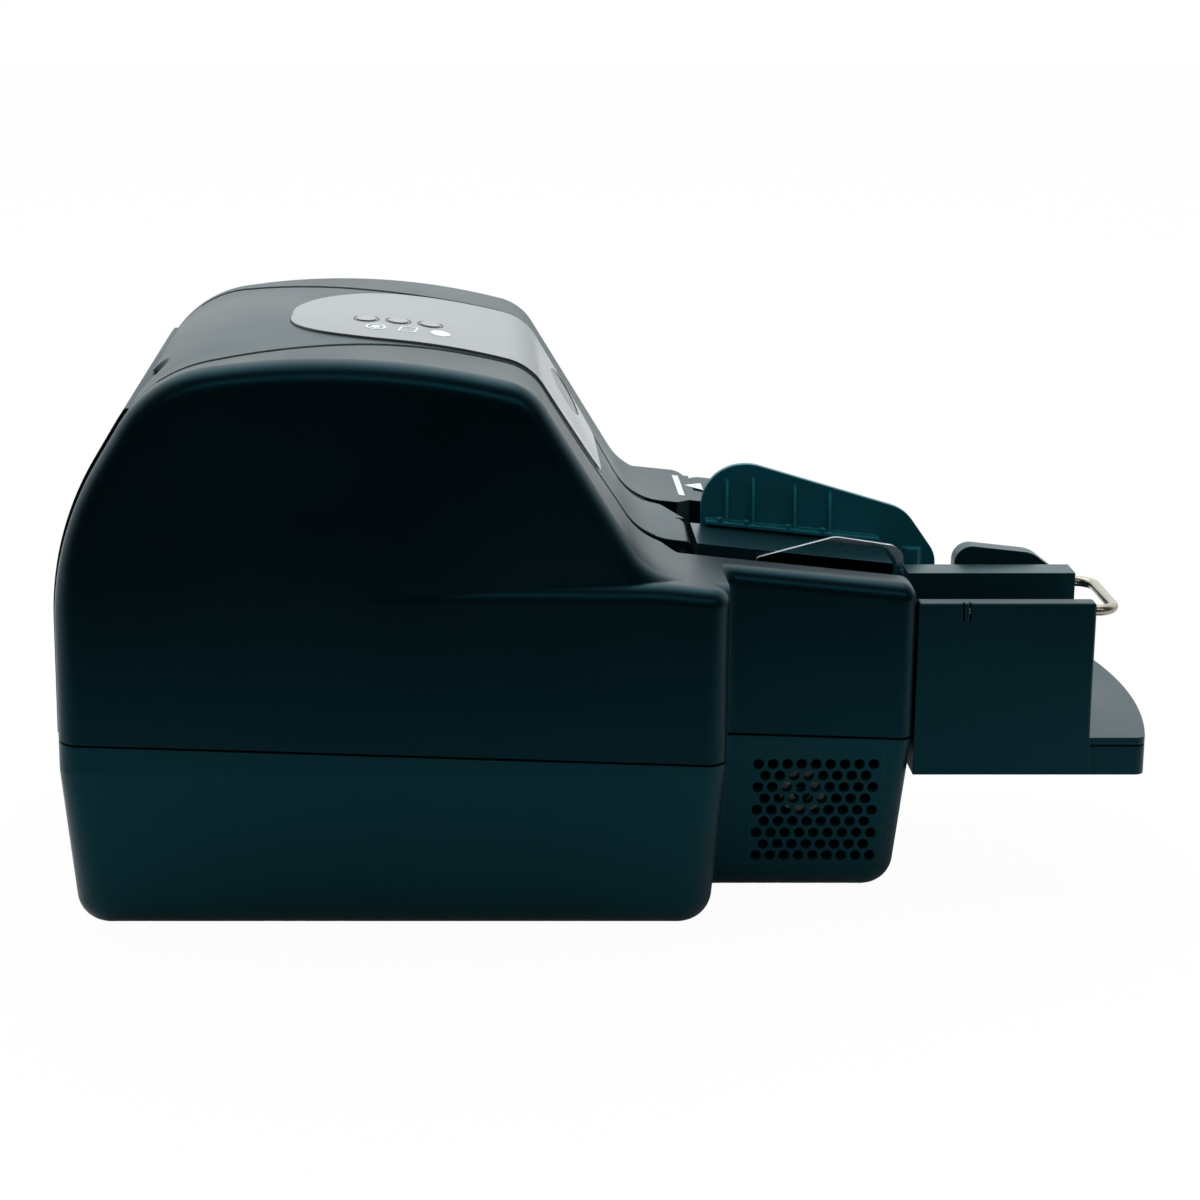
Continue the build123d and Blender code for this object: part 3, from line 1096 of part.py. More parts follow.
def feed_roller():
    """The roller that draws the documents in, with its gear and the pulley for the pick roller."""
    half_tooth = 180 / GEAR_TEETH
    solid = band_roller(FEED_X, FEED_Y, FEED_RADIUS, ISLAND_DECK_Z)
    solid = solid + pulley(FEED_X, FEED_Y, FEED_PULLEY_RADIUS)
    return solid + gear(FEED_X, FEED_Y, mesh_angle() + half_tooth)


def pick_roller():
    """The roller in the hopper's wall that brings the first document forward."""
    solid = post(PICK_X, PICK_Y, BELT_Z - 1.5, WINDOW_Z[1] + 1, SHAFT_RADIUS)
    solid = solid + pulley(PICK_X, PICK_Y, FEED_PULLEY_RADIUS)
    for z, width in TYRE_BANDS:
        solid = solid + post(PICK_X, PICK_Y, z, z + width, PICK_RADIUS)
    return solid


def pin_spots():
    """Fixed pins: one for each pinch roller, and one for the separator."""
    return [(x, side * PINCH_Y) for x, side in ROLLER_SPOTS] + [(FEED_X, SEPARATOR_Y)]


def roller_pins():
    """The fixed pins of the idle rollers, standing in the chassis plate."""
    top = WINDOW_Z[1] + 1.0
    pins = [post(x, y, FLOOR_Z, top, PIN_RADIUS) for x, y in pin_spots()]
    return pins


def idle_roller(x, y, radius):
    """A free roller on its pin."""
    z0, z1 = TYRE_BANDS[0][0], TYRE_BANDS[1][0] + TYRE_BANDS[1][1]
    waist = (TYRE_BANDS[0][0] + TYRE_BANDS[0][1] + 1, TYRE_BANDS[1][0] - 1)
    solid = post(x, y, z0, z1, radius) - (post(x, y, *waist, radius + 1) - post(x, y, *waist, radius - 2))
    return solid - post(x, y, 0, HEIGHT, PIN_RADIUS + BORE_CLEARANCE)


def belt(spots, radius):
    """A flat belt round pulleys of one radius: the outline of their hull, as a thin band."""
    inner = radius + BORE_CLEARANCE
    hull = make_hull([Pos(x, y) * CenterArc((0, 0), inner, 0, 360) for x, y in spots])
    outer = make_hull([Pos(x, y) * CenterArc((0, 0), inner + BELT_THICK, 0, 360) for x, y in spots])
    return upright(outer - hull, BELT_Z, BELT_Z + PULLEY_FACE)


def motor():
    """The drive motor's can, on the floor of the base."""
    solid = post(MOTOR_X, MOTOR_Y, *MOTOR_Z, MOTOR_RADIUS)
    solid = fillet(solid.edges().group_by(Axis.Z)[0], 1.5)
    solid = solid + post(MOTOR_X, MOTOR_Y, MOTOR_Z[1], MOTOR_Z[1] + 1.0, 5.0)
    return solid - post(MOTOR_X, MOTOR_Y, MOTOR_Z[1] - 8, HEIGHT, SHAFT_RADIUS + BORE_CLEARANCE)


def motor_pulley():
    """The motor's shaft with its pulley."""
    shaft = post(MOTOR_X, MOTOR_Y, MOTOR_Z[1] - 7.5, CHASSIS_Z - 0.4, SHAFT_RADIUS)
    return shaft + pulley(MOTOR_X, MOTOR_Y, PULLEY_RADIUS)


# ---- reading and printing modules -----------------------------------------------------------


def camera_body(side):
    """One scan camera: a tall housing behind its glass."""
    y0, y1 = sorted((side * (LANE_OUT + GLASS_THICK), side * (LANE_OUT + GLASS_THICK + CAMERA_DEPTH)))
    solid = block(*CAMERA_X, y0, y1, FLOOR_Z, CAMERA_Z[1])
    edges = [e for e in solid.edges().filter_by(Axis.Z) if abs(e.center().Y) > LANE_OUT + CAMERA_DEPTH]
    return chamfer(edges, 3.0)


def camera_glass(side):
    """The camera's glass, flush with the guide wall."""
    y0, y1 = sorted((side * LANE_OUT, side * (LANE_OUT + GLASS_THICK)))
    return block(CAMERA_X[0] + GLASS_EDGE, CAMERA_X[1] - GLASS_EDGE, y0, y1, CAMERA_Z[0] + 1, CAMERA_Z[1] - 2)


def track_head(x_range, depth):
    """A magnetic head or magnet let into the entry wall, with a rounded face."""
    solid = block(*x_range, LANE_OUT, LANE_OUT + depth, *HEAD_Z)
    edges = [e for e in solid.edges().filter_by(Axis.Z) if e.center().Y < LANE_OUT + 0.1]
    return fillet(edges, 1.2)


def cartridge_holder():
    """The open-topped holder for the ink cartridge, standing on the chassis inside the island."""
    x0, x1 = HOLDER_X
    y0, y1 = HOLDER_Y
    z0, z1 = HOLDER_Z
    solid = block(x0, x1, y0, y1, z0, z1)
    solid = solid - block(x0 + HOLDER_WALL, x1 - HOLDER_WALL, y0 + HOLDER_WALL, y1 - HOLDER_WALL,
                          z0 + HOLDER_WALL, z1 + 1)
    for x in (x0 + HOLDER_LEG_INSET, x1 - HOLDER_LEG_INSET):
        solid = solid + post(x, (y0 + y1) / 2, FLOOR_Z, z0, HOLDER_LEG_RADIUS)
    return solid


def ink_cartridge():
    """The ink cartridge, with its finger grip."""
    x0, x1 = HOLDER_X[0] + HOLDER_WALL + CARTRIDGE_GAP, HOLDER_X[1] - HOLDER_WALL - CARTRIDGE_GAP
    y0, y1 = HOLDER_Y[0] + HOLDER_WALL + CARTRIDGE_GAP, HOLDER_Y[1] - HOLDER_WALL - CARTRIDGE_GAP
    solid = block(x0, x1, y0, y1, HOLDER_Z[0] + HOLDER_WALL, CARTRIDGE_TOP_Z)
    solid = fillet(solid.edges().group_by(Axis.Z)[-1], 1.5)
    return solid - block(x0 - 1, x0 + 2, y0 + 5, y1 - 5, CARTRIDGE_TOP_Z - 8, CARTRIDGE_TOP_Z - 3)


# ---- all nodes ------------------------------------------------------------------------------
def build_all():
    """Models and writes every sub-part."""
    exit_casing, entry_casing = side_casings()
    base, grille = base_and_grille()
    save("exit_side_casing", exit_casing)
    save("entry_side_casing", entry_casing)
    save("base_pan", base)
    save("fan_grille", grille)
    save("rear_panel", rear_panel())
    save("centre_cover", centre_cover())
    save("indicator_panel", indicator_panel())
    save("indicator_lamps", *indicator_lamps())
    save("slope_inlay", slope_inlay())
    save("hinge_pin", hinge_pin())
    save("feet", *feet())
    save("base_screws", *base_screws())
    save("main_board", main_board())
    save("usb_socket", usb_socket())
    save("power_jack", power_jack())
    save("fan_frame", fan_frame())
    save("fan_rotor", fan_rotor())
    save("chassis_floor", chassis_floor())
    save("shaft_bushes", *bushes())
    save("inner_guide", inner_guide())
    save("entry_outer_guide", *entry_outer_guide().solids())
    save("exit_outer_guide", *exit_outer_guide().solids())
    save("turn_guide", turn_guide())
    save("centre_deck", centre_deck())
    save("front_tray", front_tray())
    save("pocket_wall", pocket_wall())
    save("pocket_divider", pocket_divider())
    save("pocket_stop_wire", pocket_stop_wire())
    save("pusher_plate", pusher_plate())
    save("pusher_pin", pusher_pin())
    save("clear_exit_guide", clear_exit_guide())
    save("feed_roller", feed_roller())
    save("pick_roller", pick_roller())
    save("separator_roller", idle_roller(FEED_X, SEPARATOR_Y, SEPARATOR_RADIUS))
    save("roller_pins", *roller_pins())
    save("drive_belt", belt([(x, side * DRIVE_Y) for x, side in ROLLER_SPOTS], PULLEY_RADIUS))
    save("feed_belt", belt([(FEED_X, FEED_Y), (PICK_X, PICK_Y)], FEED_PULLEY_RADIUS))
    save("drive_motor", motor())
    save("motor_pulley", motor_pulley())
    save("magnetic_head", track_head(HEAD_X, 8.0))
    save("magnet", track_head(MAGNET_X, 6.0))
    save("cartridge_holder", cartridge_holder())
    save("ink_cartridge", ink_cartridge())
    for x, side in ROLLER_SPOTS:
        place = ("front" if x == FRONT_DRIVE_X else "rear") + ("_entry" if side > 0 else "_exit")
        save(f"drive_roller_{place}", drive_roller(x, side))
        save(f"pinch_roller_{place}", idle_roller(x, side * PINCH_Y, PINCH_RADIUS))
    for side, name in ((1, "entry"), (-1, "exit")):
        save(f"camera_{name}", camera_body(side))
        save(f"camera_glass_{name}", camera_glass(side))


build_all()
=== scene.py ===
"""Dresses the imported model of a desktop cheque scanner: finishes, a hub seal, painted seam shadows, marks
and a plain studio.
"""
import math

import bmesh
import bpy
import numpy as np
from mathutils.bvhtree import BVHTree
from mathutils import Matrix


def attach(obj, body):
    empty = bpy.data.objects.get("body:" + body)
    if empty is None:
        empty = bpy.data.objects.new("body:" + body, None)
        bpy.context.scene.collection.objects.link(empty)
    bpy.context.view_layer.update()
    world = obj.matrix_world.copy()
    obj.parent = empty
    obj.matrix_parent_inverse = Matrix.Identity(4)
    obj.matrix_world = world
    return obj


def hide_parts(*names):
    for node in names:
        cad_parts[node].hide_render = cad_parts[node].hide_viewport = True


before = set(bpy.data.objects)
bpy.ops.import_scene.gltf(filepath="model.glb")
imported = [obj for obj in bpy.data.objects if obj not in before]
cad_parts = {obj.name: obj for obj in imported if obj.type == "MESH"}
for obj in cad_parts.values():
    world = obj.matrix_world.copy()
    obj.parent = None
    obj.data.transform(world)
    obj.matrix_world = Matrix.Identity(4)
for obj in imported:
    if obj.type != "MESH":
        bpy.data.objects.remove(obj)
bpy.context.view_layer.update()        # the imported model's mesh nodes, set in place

MM = 0.001

# ---- studio ---------------------------------------------------------------------------------
# A white laminate table stands before a white wall, under one broad softbox. The table ends a
# hand's breadth in front of the machine and the room there is dim, so upright black faces stay
# black while level ones pick up the wall.


def linear(hex_colour):
    """sRGB hex colour to linear RGBA: x/12.92 up to 0.04045, else ((x+0.055)/1.055)^2.4."""
    parts = np.array([int(hex_colour[i:i + 2], 16) for i in (1, 3, 5)]) / 255
    low, high = parts / 12.92, ((parts + 0.055) / 1.055) ** 2.4
    return (*np.where(parts <= 0.04045, low, high), 1.0)


def add(tree, kind, settings=None, links=None):
    """Adds one node, sets its properties and inputs by name or index, and links its inputs."""
    node = tree.nodes.new(kind)
    for name, value in (settings or {}).items():
        if isinstance(name, str) and hasattr(node, name) and name not in node.inputs:
            setattr(node, name, value)
        else:
            node.inputs[name].default_value = value
    for name, source in (links or {}).items():
        tree.links.new(source, node.inputs[name])
    return node


PLAIN_WHITE = (1.0, 1.0, 1.0, 1.0)
ROOM_TINT = (0.94, 0.99, 1.0, 1.0)   # the room's light is a little cool
ROOM_GLOW = 0.035                # the dim side of the room, against 1 for a plain white wall
WALL_FADE = (-0.30, 0.40)        # the wall comes in between these shares of the view along y
WALL_RISE = (-0.06, 0.26)        # and grows brighter between these shares of the view along z
WALL_GLOW = (0.72, 1.60)


def studio_world():
    """World light: plain white where it is seen. As light it is room + fade(y) * rise(z), which
    goes from the dim room in front to the white wall behind and brightens upwards."""
    world = bpy.data.worlds.new("studio_world")
    world.use_nodes = True
    tree = world.node_tree
    tree.nodes.clear()
    path = add(tree, "ShaderNodeLightPath")
    place = add(tree, "ShaderNodeTexCoord")
    parts = add(tree, "ShaderNodeSeparateXYZ", links={0: place.outputs["Generated"]})
    fade = add(tree, "ShaderNodeMapRange",
               {"interpolation_type": "SMOOTHSTEP", "From Min": WALL_FADE[0], "From Max": WALL_FADE[1]},
               {"Value": parts.outputs["Y"]})
    rise = add(tree, "ShaderNodeMapRange",
               {"interpolation_type": "SMOOTHSTEP", "From Min": WALL_RISE[0], "From Max": WALL_RISE[1],
                "To Min": WALL_GLOW[0], "To Max": WALL_GLOW[1]}, {"Value": parts.outputs["Z"]})
    wall = add(tree, "ShaderNodeMath", {"operation": "MULTIPLY_ADD", 2: ROOM_GLOW},
               {0: fade.outputs[0], 1: rise.outputs[0]})
    room = add(tree, "ShaderNodeBackground", {"Color": ROOM_TINT}, {"Strength": wall.outputs[0]})
    seen = add(tree, "ShaderNodeBackground", {"Color": PLAIN_WHITE, "Strength": 1.0})
    both = add(tree, "ShaderNodeMath", {"operation": "MAXIMUM"},
               {0: path.outputs["Is Camera Ray"], 1: path.outputs["Is Transmission Ray"]})
    last = add(tree, "ShaderNodeMixShader",
               links={0: both.outputs[0], 1: room.outputs[0], 2: seen.outputs[0]})
    add(tree, "ShaderNodeOutputWorld", links={"Surface": last.outputs[0]})
    bpy.context.scene.world = world


LAMP_AIM = (0.0, 0.0, 0.10)      # metres: the middle of the machine
SOFTBOX_PLACE, SOFTBOX_SIZE, SOFTBOX_WATTS = (-0.10, 0.35, 1.30), (1.4, 1.4), 10.0
STRIP_PLACE, STRIP_SIZE, STRIP_WATTS = (0.10, -0.95, 0.72), (1.3, 0.05), 2.2


def area_lamp(name, place, size, watts):
    """An oblong area lamp at place, in metres, turned so that it shines towards LAMP_AIM."""
    lamp = bpy.data.lights.new(name, "AREA")
    lamp.shape = "RECTANGLE"
    lamp.size, lamp.size_y = size
    lamp.energy = watts
    obj = bpy.data.objects.new(name, lamp)
    bpy.context.collection.objects.link(obj)
    way = np.array(LAMP_AIM) - np.array(place)
    pitch = math.atan2(math.hypot(way[0], way[1]), -way[2])
    obj.location = place
    obj.rotation_euler = (pitch, 0.0, math.atan2(way[1], way[0]) - math.pi / 2)


TABLE_NEAR, TABLE_FAR, TABLE_HALF = -0.25, 3.0, 3.0   # metres from the origin
TABLE_SEEN_WHITE = 0.97          # share of plain white where the camera sees the table


def table_top():
    """The table: one flat sheet of white laminate, near plain white where the camera sees it, with
    the share left over for the shadow."""
    mesh = bpy.data.meshes.new("table_top")
    mesh.from_pydata([(-TABLE_HALF, TABLE_NEAR, 0), (TABLE_HALF, TABLE_NEAR, 0),
                      (TABLE_HALF, TABLE_FAR, 0), (-TABLE_HALF, TABLE_FAR, 0)], [], [(0, 1, 2, 3)])
    table = bpy.data.objects.new("table_top", mesh)
    bpy.context.collection.objects.link(table)
    finish = bpy.data.materials.new("white_laminate")
    finish.use_nodes = True
    tree = finish.node_tree
    tree.nodes.clear()
    matt = add(tree, "ShaderNodeBsdfDiffuse", {"Color": linear("#f2f3f3")})
    glow = add(tree, "ShaderNodeEmission", {"Color": PLAIN_WHITE, "Strength": 1.0})
    path = add(tree, "ShaderNodeLightPath")
    share = add(tree, "ShaderNodeMath", {"operation": "MULTIPLY", 1: TABLE_SEEN_WHITE},
                {0: path.outputs["Is Camera Ray"]})
    mixed = add(tree, "ShaderNodeMixShader",
                links={0: share.outputs[0], 1: matt.outputs[0], 2: glow.outputs[0]})
    add(tree, "ShaderNodeOutputMaterial", links={"Surface": mixed.outputs[0]})
    mesh.materials.append(finish)


studio_world()
area_lamp("overhead_softbox", SOFTBOX_PLACE, SOFTBOX_SIZE, SOFTBOX_WATTS)
area_lamp("front_strip", STRIP_PLACE, STRIP_SIZE, STRIP_WATTS)   # a bright line along rounded edges
table_top()

# ---- camera ---------------------------------------------------------------------------------
# The viewer stands at the exit side, some 70 cm away and a little above, and looks slightly down.
# The lens is shifted, so that the machine sits in the middle of the frame.
CAMERA_PLACE = (-44.05 * MM, -691.10 * MM, 283.79 * MM)
CAMERA_PITCH = 12.0              # degrees below level
CAMERA_FOCUS = 2462.0 / 1200.0   # focal length in frame widths
SENSOR = 36.0                    # millimetres
SHIFT = (0.1179, -0.1716)        # frame widths
CLIP_START = 0.02                # metres

camera_data = bpy.data.cameras.new("viewer")
camera_data.sensor_fit = "HORIZONTAL"
camera_data.sensor_width = SENSOR
camera_data.lens = CAMERA_FOCUS * SENSOR
camera_data.shift_x, camera_data.shift_y = SHIFT
camera_data.clip_start = CLIP_START
camera = bpy.data.objects.new("viewer", camera_data)
camera.location = CAMERA_PLACE
camera.rotation_euler = (math.radians(90.0 - CAMERA_PITCH), 0.0, 0.0)
bpy.context.collection.objects.link(camera)
bpy.context.scene.camera = camera
bpy.context.scene.view_settings.view_transform = "Standard"

# ---- base pan and fan grille ----------------------------------------------------------------
# The pan is injection-moulded ABS, black with a teal cast, and its grille is moulded to match.
# The tool is spark-eroded, which leaves a fine matt grain; every edge carries a soft bright line, a painted
# highlight.
SPARK_ROUGHNESS = 0.36
GRAIN = 0.45 * MM                # one grain, drawn some three times as coarse as it is so that it shows
GRAIN_HEIGHT = 0.05 * MM
NOISE_CELL = 2                   # grains to one cell of the noise
NOISE_LAYERS = 3.0
NOISE_BREAKUP = 0.55
NOISE_SPAN = (0.3, 0.7)          # most of a noise's values lie between these
TINT_SPAN = (0.35, 0.65)         # and the two tones of a colour stand at these
TEAL_SHEEN = (0.10, 0.75, 1.00, 1.0)   # the pigment's cast in the reflection
PLAIN_SHEEN = (1.0, 1.0, 1.0, 1.0)
EDGE_RADIUS = 0.45 * MM          # moulded edges are broken by about this much
EDGE_RAYS = 4
EDGE_HIGHLIGHT_AND_WEAR_SPAN = (0.995, 0.90)        # n.m where an edge begins to take its painted highlight and wear, and where it takes them fully
WEAR_POLISH = 0.12               # a rubbed edge is this much less rough
HANDLING = 0.10                  # share by which handling shifts the colour
ROUGHNESS_DRIFT = 0.05


def moulded_plastic(name, colour_hex, roughness, grain=GRAIN, bump=0.3, ior=1.35, patch=55.0,
                    sheen=TEAL_SHEEN, edge_highlight=0.5):
    """Moulded plastic. Noise of the grain's size raises a bump; broad noise of the patch size, in
    millimetres, shifts colour and roughness as handling does. Where the rounded-edge normal n and
    the flat normal m part, 1 - n.m > 0, the edge gets a painted highlight, its colour lifted by the
    given edge share, and its roughness falls as with wear."""
    finish = bpy.data.materials.new(name)
    finish.use_nodes = True
    tree = finish.node_tree
    shader = tree.nodes["Principled BSDF"]
    shader.inputs["IOR"].default_value = ior
    shader.inputs["Specular Tint"].default_value = sheen
    place = add(tree, "ShaderNodeTexCoord")
    fine = add(tree, "ShaderNodeTexNoise",
               {"Scale": 1.0 / (grain * NOISE_CELL), "Detail": NOISE_LAYERS, "Roughness": NOISE_BREAKUP},
               {"Vector": place.outputs["Object"]})
    broad = add(tree, "ShaderNodeTexNoise", {"Scale": 1.0 / (patch * MM), "Detail": NOISE_LAYERS},
                {"Vector": place.outputs["Object"]})
    soft = add(tree, "ShaderNodeBevel", {"samples": EDGE_RAYS, "Radius": EDGE_RADIUS})
    flat = add(tree, "ShaderNodeNewGeometry")
    agree = add(tree, "ShaderNodeVectorMath", {"operation": "DOT_PRODUCT"},
                {0: soft.outputs["Normal"], 1: flat.outputs["Normal"]})
    # One edge mask: it drives a painted highlight in the colour and real wear in the roughness.
    rubbed_and_highlit = add(tree, "ShaderNodeMapRange",
                 {"From Min": EDGE_HIGHLIGHT_AND_WEAR_SPAN[0], "From Max": EDGE_HIGHLIGHT_AND_WEAR_SPAN[1], "To Min": 0.0, "To Max": 1.0},
                 {"Value": agree.outputs["Value"]})
    gloss = add(tree, "ShaderNodeMapRange",
                {"From Min": NOISE_SPAN[0], "From Max": NOISE_SPAN[1],
                 "To Min": roughness - ROUGHNESS_DRIFT, "To Max": roughness + ROUGHNESS_DRIFT},
                {"Value": broad.outputs["Fac"]})
    polished = add(tree, "ShaderNodeMath", {"operation": "MULTIPLY_ADD", 1: -WEAR_POLISH},
                   {0: rubbed_and_highlit.outputs[0], 2: gloss.outputs[0]})
    tint = add(tree, "ShaderNodeValToRGB", links={"Fac": broad.outputs["Fac"]})
    for stop, spot, share in zip(tint.color_ramp.elements, TINT_SPAN, (1 - HANDLING, 1 + HANDLING)):
        stop.position = spot
        stop.color = (*(np.array(linear(colour_hex)[:3]) * share), 1)
    # Painted highlight: the colour is lifted along the edges by the given share, for the light that rounded
    # edges catch.
    lift = add(tree, "ShaderNodeMath", {"operation": "MULTIPLY_ADD", 1: edge_highlight, 2: 1.0},
               {0: rubbed_and_highlit.outputs[0]})
    paint = add(tree, "ShaderNodeVectorMath", {"operation": "SCALE"},
                {0: tint.outputs["Color"], "Scale": lift.outputs[0]})
    grainy = add(tree, "ShaderNodeBump", {"Strength": bump, "Distance": GRAIN_HEIGHT},
                 {"Height": fine.outputs["Fac"], "Normal": soft.outputs["Normal"]})
    tree.links.new(paint.outputs["Vector"], shader.inputs["Base Color"])
    tree.links.new(polished.outputs[0], shader.inputs["Roughness"])
    tree.links.new(grainy.outputs["Normal"], shader.inputs["Normal"])
    return finish


def dress(material, *nodes):
    """Puts one material on carried-over nodes."""
    for node in nodes:
        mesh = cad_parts[node].data
        mesh.materials.clear()
        mesh.materials.append(material)


# To the eye the pan is a deep, matt teal black, with a paler painted highlight line along its edges.
# It is a shade lighter than the casings: painted light from the table, which its lower faces catch.
pan_abs = moulded_plastic("spark_grained_teal_black_abs", "#082125", SPARK_ROUGHNESS, edge_highlight=0.9)
dress(pan_abs, "base_pan", "fan_grille")

# ---- feet and screws ------------------------------------------------------------------------
# Four nitrile pads are glued under the pan, and zinc-plated steel screws draw the pan up to the
# chassis from below.

# Moulded nitrile is dull and slightly dusty, with hardly any reflection.
rubber = moulded_plastic("nitrile_rubber", "#0c0d0e", 0.78, grain=0.25 * MM, bump=0.5, ior=1.5,
                         sheen=PLAIN_SHEEN, edge_highlight=0.2)
dress(rubber, "feet")

MARK_SIZE = 0.8 * MM             # several times as coarse as real tool marks, so that they show
MARK_HEIGHT = 0.02 * MM
MARK_SHADE = (0.90, 1.0)         # the two tones of a metal
MARK_DRIFT = 0.06


def machined_metal(name, colour_hex, roughness, line, bump):
    """Turned, ground or drawn metal: noise of the size of a tool mark, drawn out along each axis by
    one over its value in line, gives the marks in the metal's bump, colour and roughness."""
    finish = bpy.data.materials.new(name)
    finish.use_nodes = True
    tree = finish.node_tree
    shader = tree.nodes["Principled BSDF"]
    shader.inputs["Metallic"].default_value = 1.0
    place = add(tree, "ShaderNodeTexCoord")
    stretch = add(tree, "ShaderNodeMapping", {"Scale": line}, {"Vector": place.outputs["Object"]})
    marks = add(tree, "ShaderNodeTexNoise", {"Scale": 1.0 / MARK_SIZE, "Detail": NOISE_LAYERS},
                {"Vector": stretch.outputs[0]})
    gloss = add(tree, "ShaderNodeMapRange",
                {"From Min": NOISE_SPAN[0], "From Max": NOISE_SPAN[1],
                 "To Min": roughness - MARK_DRIFT, "To Max": roughness + MARK_DRIFT},
                {"Value": marks.outputs["Fac"]})
    tint = add(tree, "ShaderNodeValToRGB", links={"Fac": marks.outputs["Fac"]})
    for stop, spot, share in zip(tint.color_ramp.elements, TINT_SPAN, MARK_SHADE):
        stop.position = spot
        stop.color = (*(np.array(linear(colour_hex)[:3]) * share), 1)
    ridges = add(tree, "ShaderNodeBump", {"Strength": bump, "Distance": MARK_HEIGHT},
                 {"Height": marks.outputs["Fac"]})
    tree.links.new(tint.outputs["Color"], shader.inputs["Base Color"])
    tree.links.new(gloss.outputs[0], shader.inputs["Roughness"])
    tree.links.new(ridges.outputs["Normal"], shader.inputs["Normal"])
    return finish


# Bright zinc on steel is a soft grey mirror, with marks that run up the screw.
steel = machined_metal("zinc_plated_steel", "#b4b7ba", 0.30, (1.0, 1.0, 0.1), 0.3)
dress(steel, "base_screws")

# ---- side casings ---------------------------------------------------------------------------
# Two deep mouldings in the same grained ABS. They stand on the pan along the parting groove, and
# each has a lip along the well that the centre cover closes.

# The same matt grain as the pan's, so dark that the sides are nearly black and the top a cool grey, with a
# painted highlight along the edges.
casing_abs = moulded_plastic("spark_grained_black_abs", "#02090d", SPARK_ROUGHNESS, edge_highlight=1.2)
dress(casing_abs, "exit_side_casing", "entry_side_casing")

# ---- rear panel and its sockets -------------------------------------------------------------
# A satin ABS plate between the casings, with the body of the power jack moulded to match. The
# data socket is a tin-plated steel shell, folded from sheet, so its marks run along the fold.

# A satin mould gives a broad, weak sheen and little grain.
satin_abs = moulded_plastic("satin_black_abs", "#060d10", 0.45, bump=0.15, edge_highlight=0.6)
dress(satin_abs, "rear_panel", "power_jack")
# Tin is whiter and duller than zinc.
plated = machined_metal("tin_plated_steel", "#bcbdbe", 0.34, (0.2, 1.0, 1.0), 0.2)
dress(plated, "usb_socket")

# ---- chassis, board and drive ---------------------------------------------------------------
# The chassis plate is smooth glass-filled ABS, screwed down in the pan. The board under it has a
# green solder mask; the motor can is drawn steel, and its pulley and the shafts are ground.

# Smooth grey ABS shows soft reflections and a faint drift from the flow in the mould.
track_abs = moulded_plastic("smooth_grey_abs", "#202427", 0.32, grain=0.5 * MM, bump=0.05, ior=1.45,
                            sheen=PLAIN_SHEEN, edge_highlight=0.3)
dress(track_abs, "chassis_floor")
# Printed solder mask is a glossy bottle green that pools a little.
solder_mask = moulded_plastic("green_solder_mask", "#0f4a2a", 0.3, grain=0.4 * MM, bump=0.1, ior=1.5,
                              patch=12.0, sheen=PLAIN_SHEEN, edge_highlight=0.2)
dress(solder_mask, "main_board")
dress(steel, "drive_motor", "motor_pulley", "roller_pins")
dress(rubber, "drive_belt", "feed_belt")
# Turned brass is a warm, bright yellow with rings from the tool.
brass = machined_metal("turned_brass", "#c09a52", 0.28, (1.0, 1.0, 0.2), 0.3)
dress(brass, "shaft_bushes")

# ---- fan ------------------------------------------------------------------------------------
# A small brushless fan behind the grille: a satin black frame and rotor, with a pale seal of
# coated paper glued on the hub, which shows through the holes. The seal is bare.
dress(satin_abs, "fan_frame", "fan_rotor")
FAN_AXIS = (53.0, 29.5)          # x and z, millimetres
HUB_FACE_Y = -33.9
HUB_SEAL_THICK = 0.12
HUB_SEAL_RADII = (2.6, 6.4)
HUB_SEAL_SIDES = 64


def band(first, second, count, closed=True):
    """Quads between two rows of count points, which start at the numbers first and second."""
    here = np.arange(count if closed else count - 1)
    ahead = (here + 1) % count
    return np.column_stack([first + here, first + ahead, second + ahead, second + here]).tolist()


def new_piece(name, points, faces, material, body):
    """An object from points in millimetres and faces. It rides a body and takes a finish slot."""
    mesh = bpy.data.meshes.new(name)
    mesh.from_pydata((np.asarray(points) * MM).tolist(), [], faces)
    mesh.materials.append(material)
    piece = bpy.data.objects.new(name, mesh)
    bpy.context.collection.objects.link(piece)
    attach(piece, body)
    return piece


def hub_seal(name, material):
    """A flat ring: circles (x + r cos t, y, z + r sin t) of the two radii, at its face and at the
    hub, joined round into a closed band."""
    turn = np.linspace(0, 2 * np.pi, HUB_SEAL_SIDES, endpoint=False)
    inner, outer = HUB_SEAL_RADII
    face_y = HUB_FACE_Y - HUB_SEAL_THICK
    circles = [np.column_stack([FAN_AXIS[0] + r * np.cos(turn), np.full(HUB_SEAL_SIDES, y),
                                FAN_AXIS[1] + r * np.sin(turn)])
               for r, y in ((outer, face_y), (inner, face_y), (inner, HUB_FACE_Y), (outer, HUB_FACE_Y))]
    starts = np.arange(len(circles)) * HUB_SEAL_SIDES
    faces = [quad for first, second in zip(starts, np.roll(starts, -1))
             for quad in band(first, second, HUB_SEAL_SIDES)]
    new_piece(name, np.concatenate(circles), faces, material, "fan")


# Coated paper is off-white and faintly glossy, and mottled where the glue has taken.
seal_paper = moulded_plastic("coated_seal_paper", "#c3c8cb", 0.42, grain=0.3 * MM, bump=0.2, ior=1.45,
                             patch=2.0, sheen=PLAIN_SHEEN, edge_highlight=0.0)
hub_seal("fan_hub_seal", seal_paper)

# ---- document track -------------------------------------------------------------------------
# The guides line the track with the same smooth grey ABS as the chassis, polished by paper. The
# two cameras and the cartridge are satin black; the read head is tin-plated.
dress(track_abs, "inner_guide", "entry_outer_guide", "exit_outer_guide", "turn_guide", "cartridge_holder")
dress(satin_abs, "ink_cartridge", "camera_entry", "camera_exit")
dress(plated, "magnetic_head")
dress(steel, "magnet")

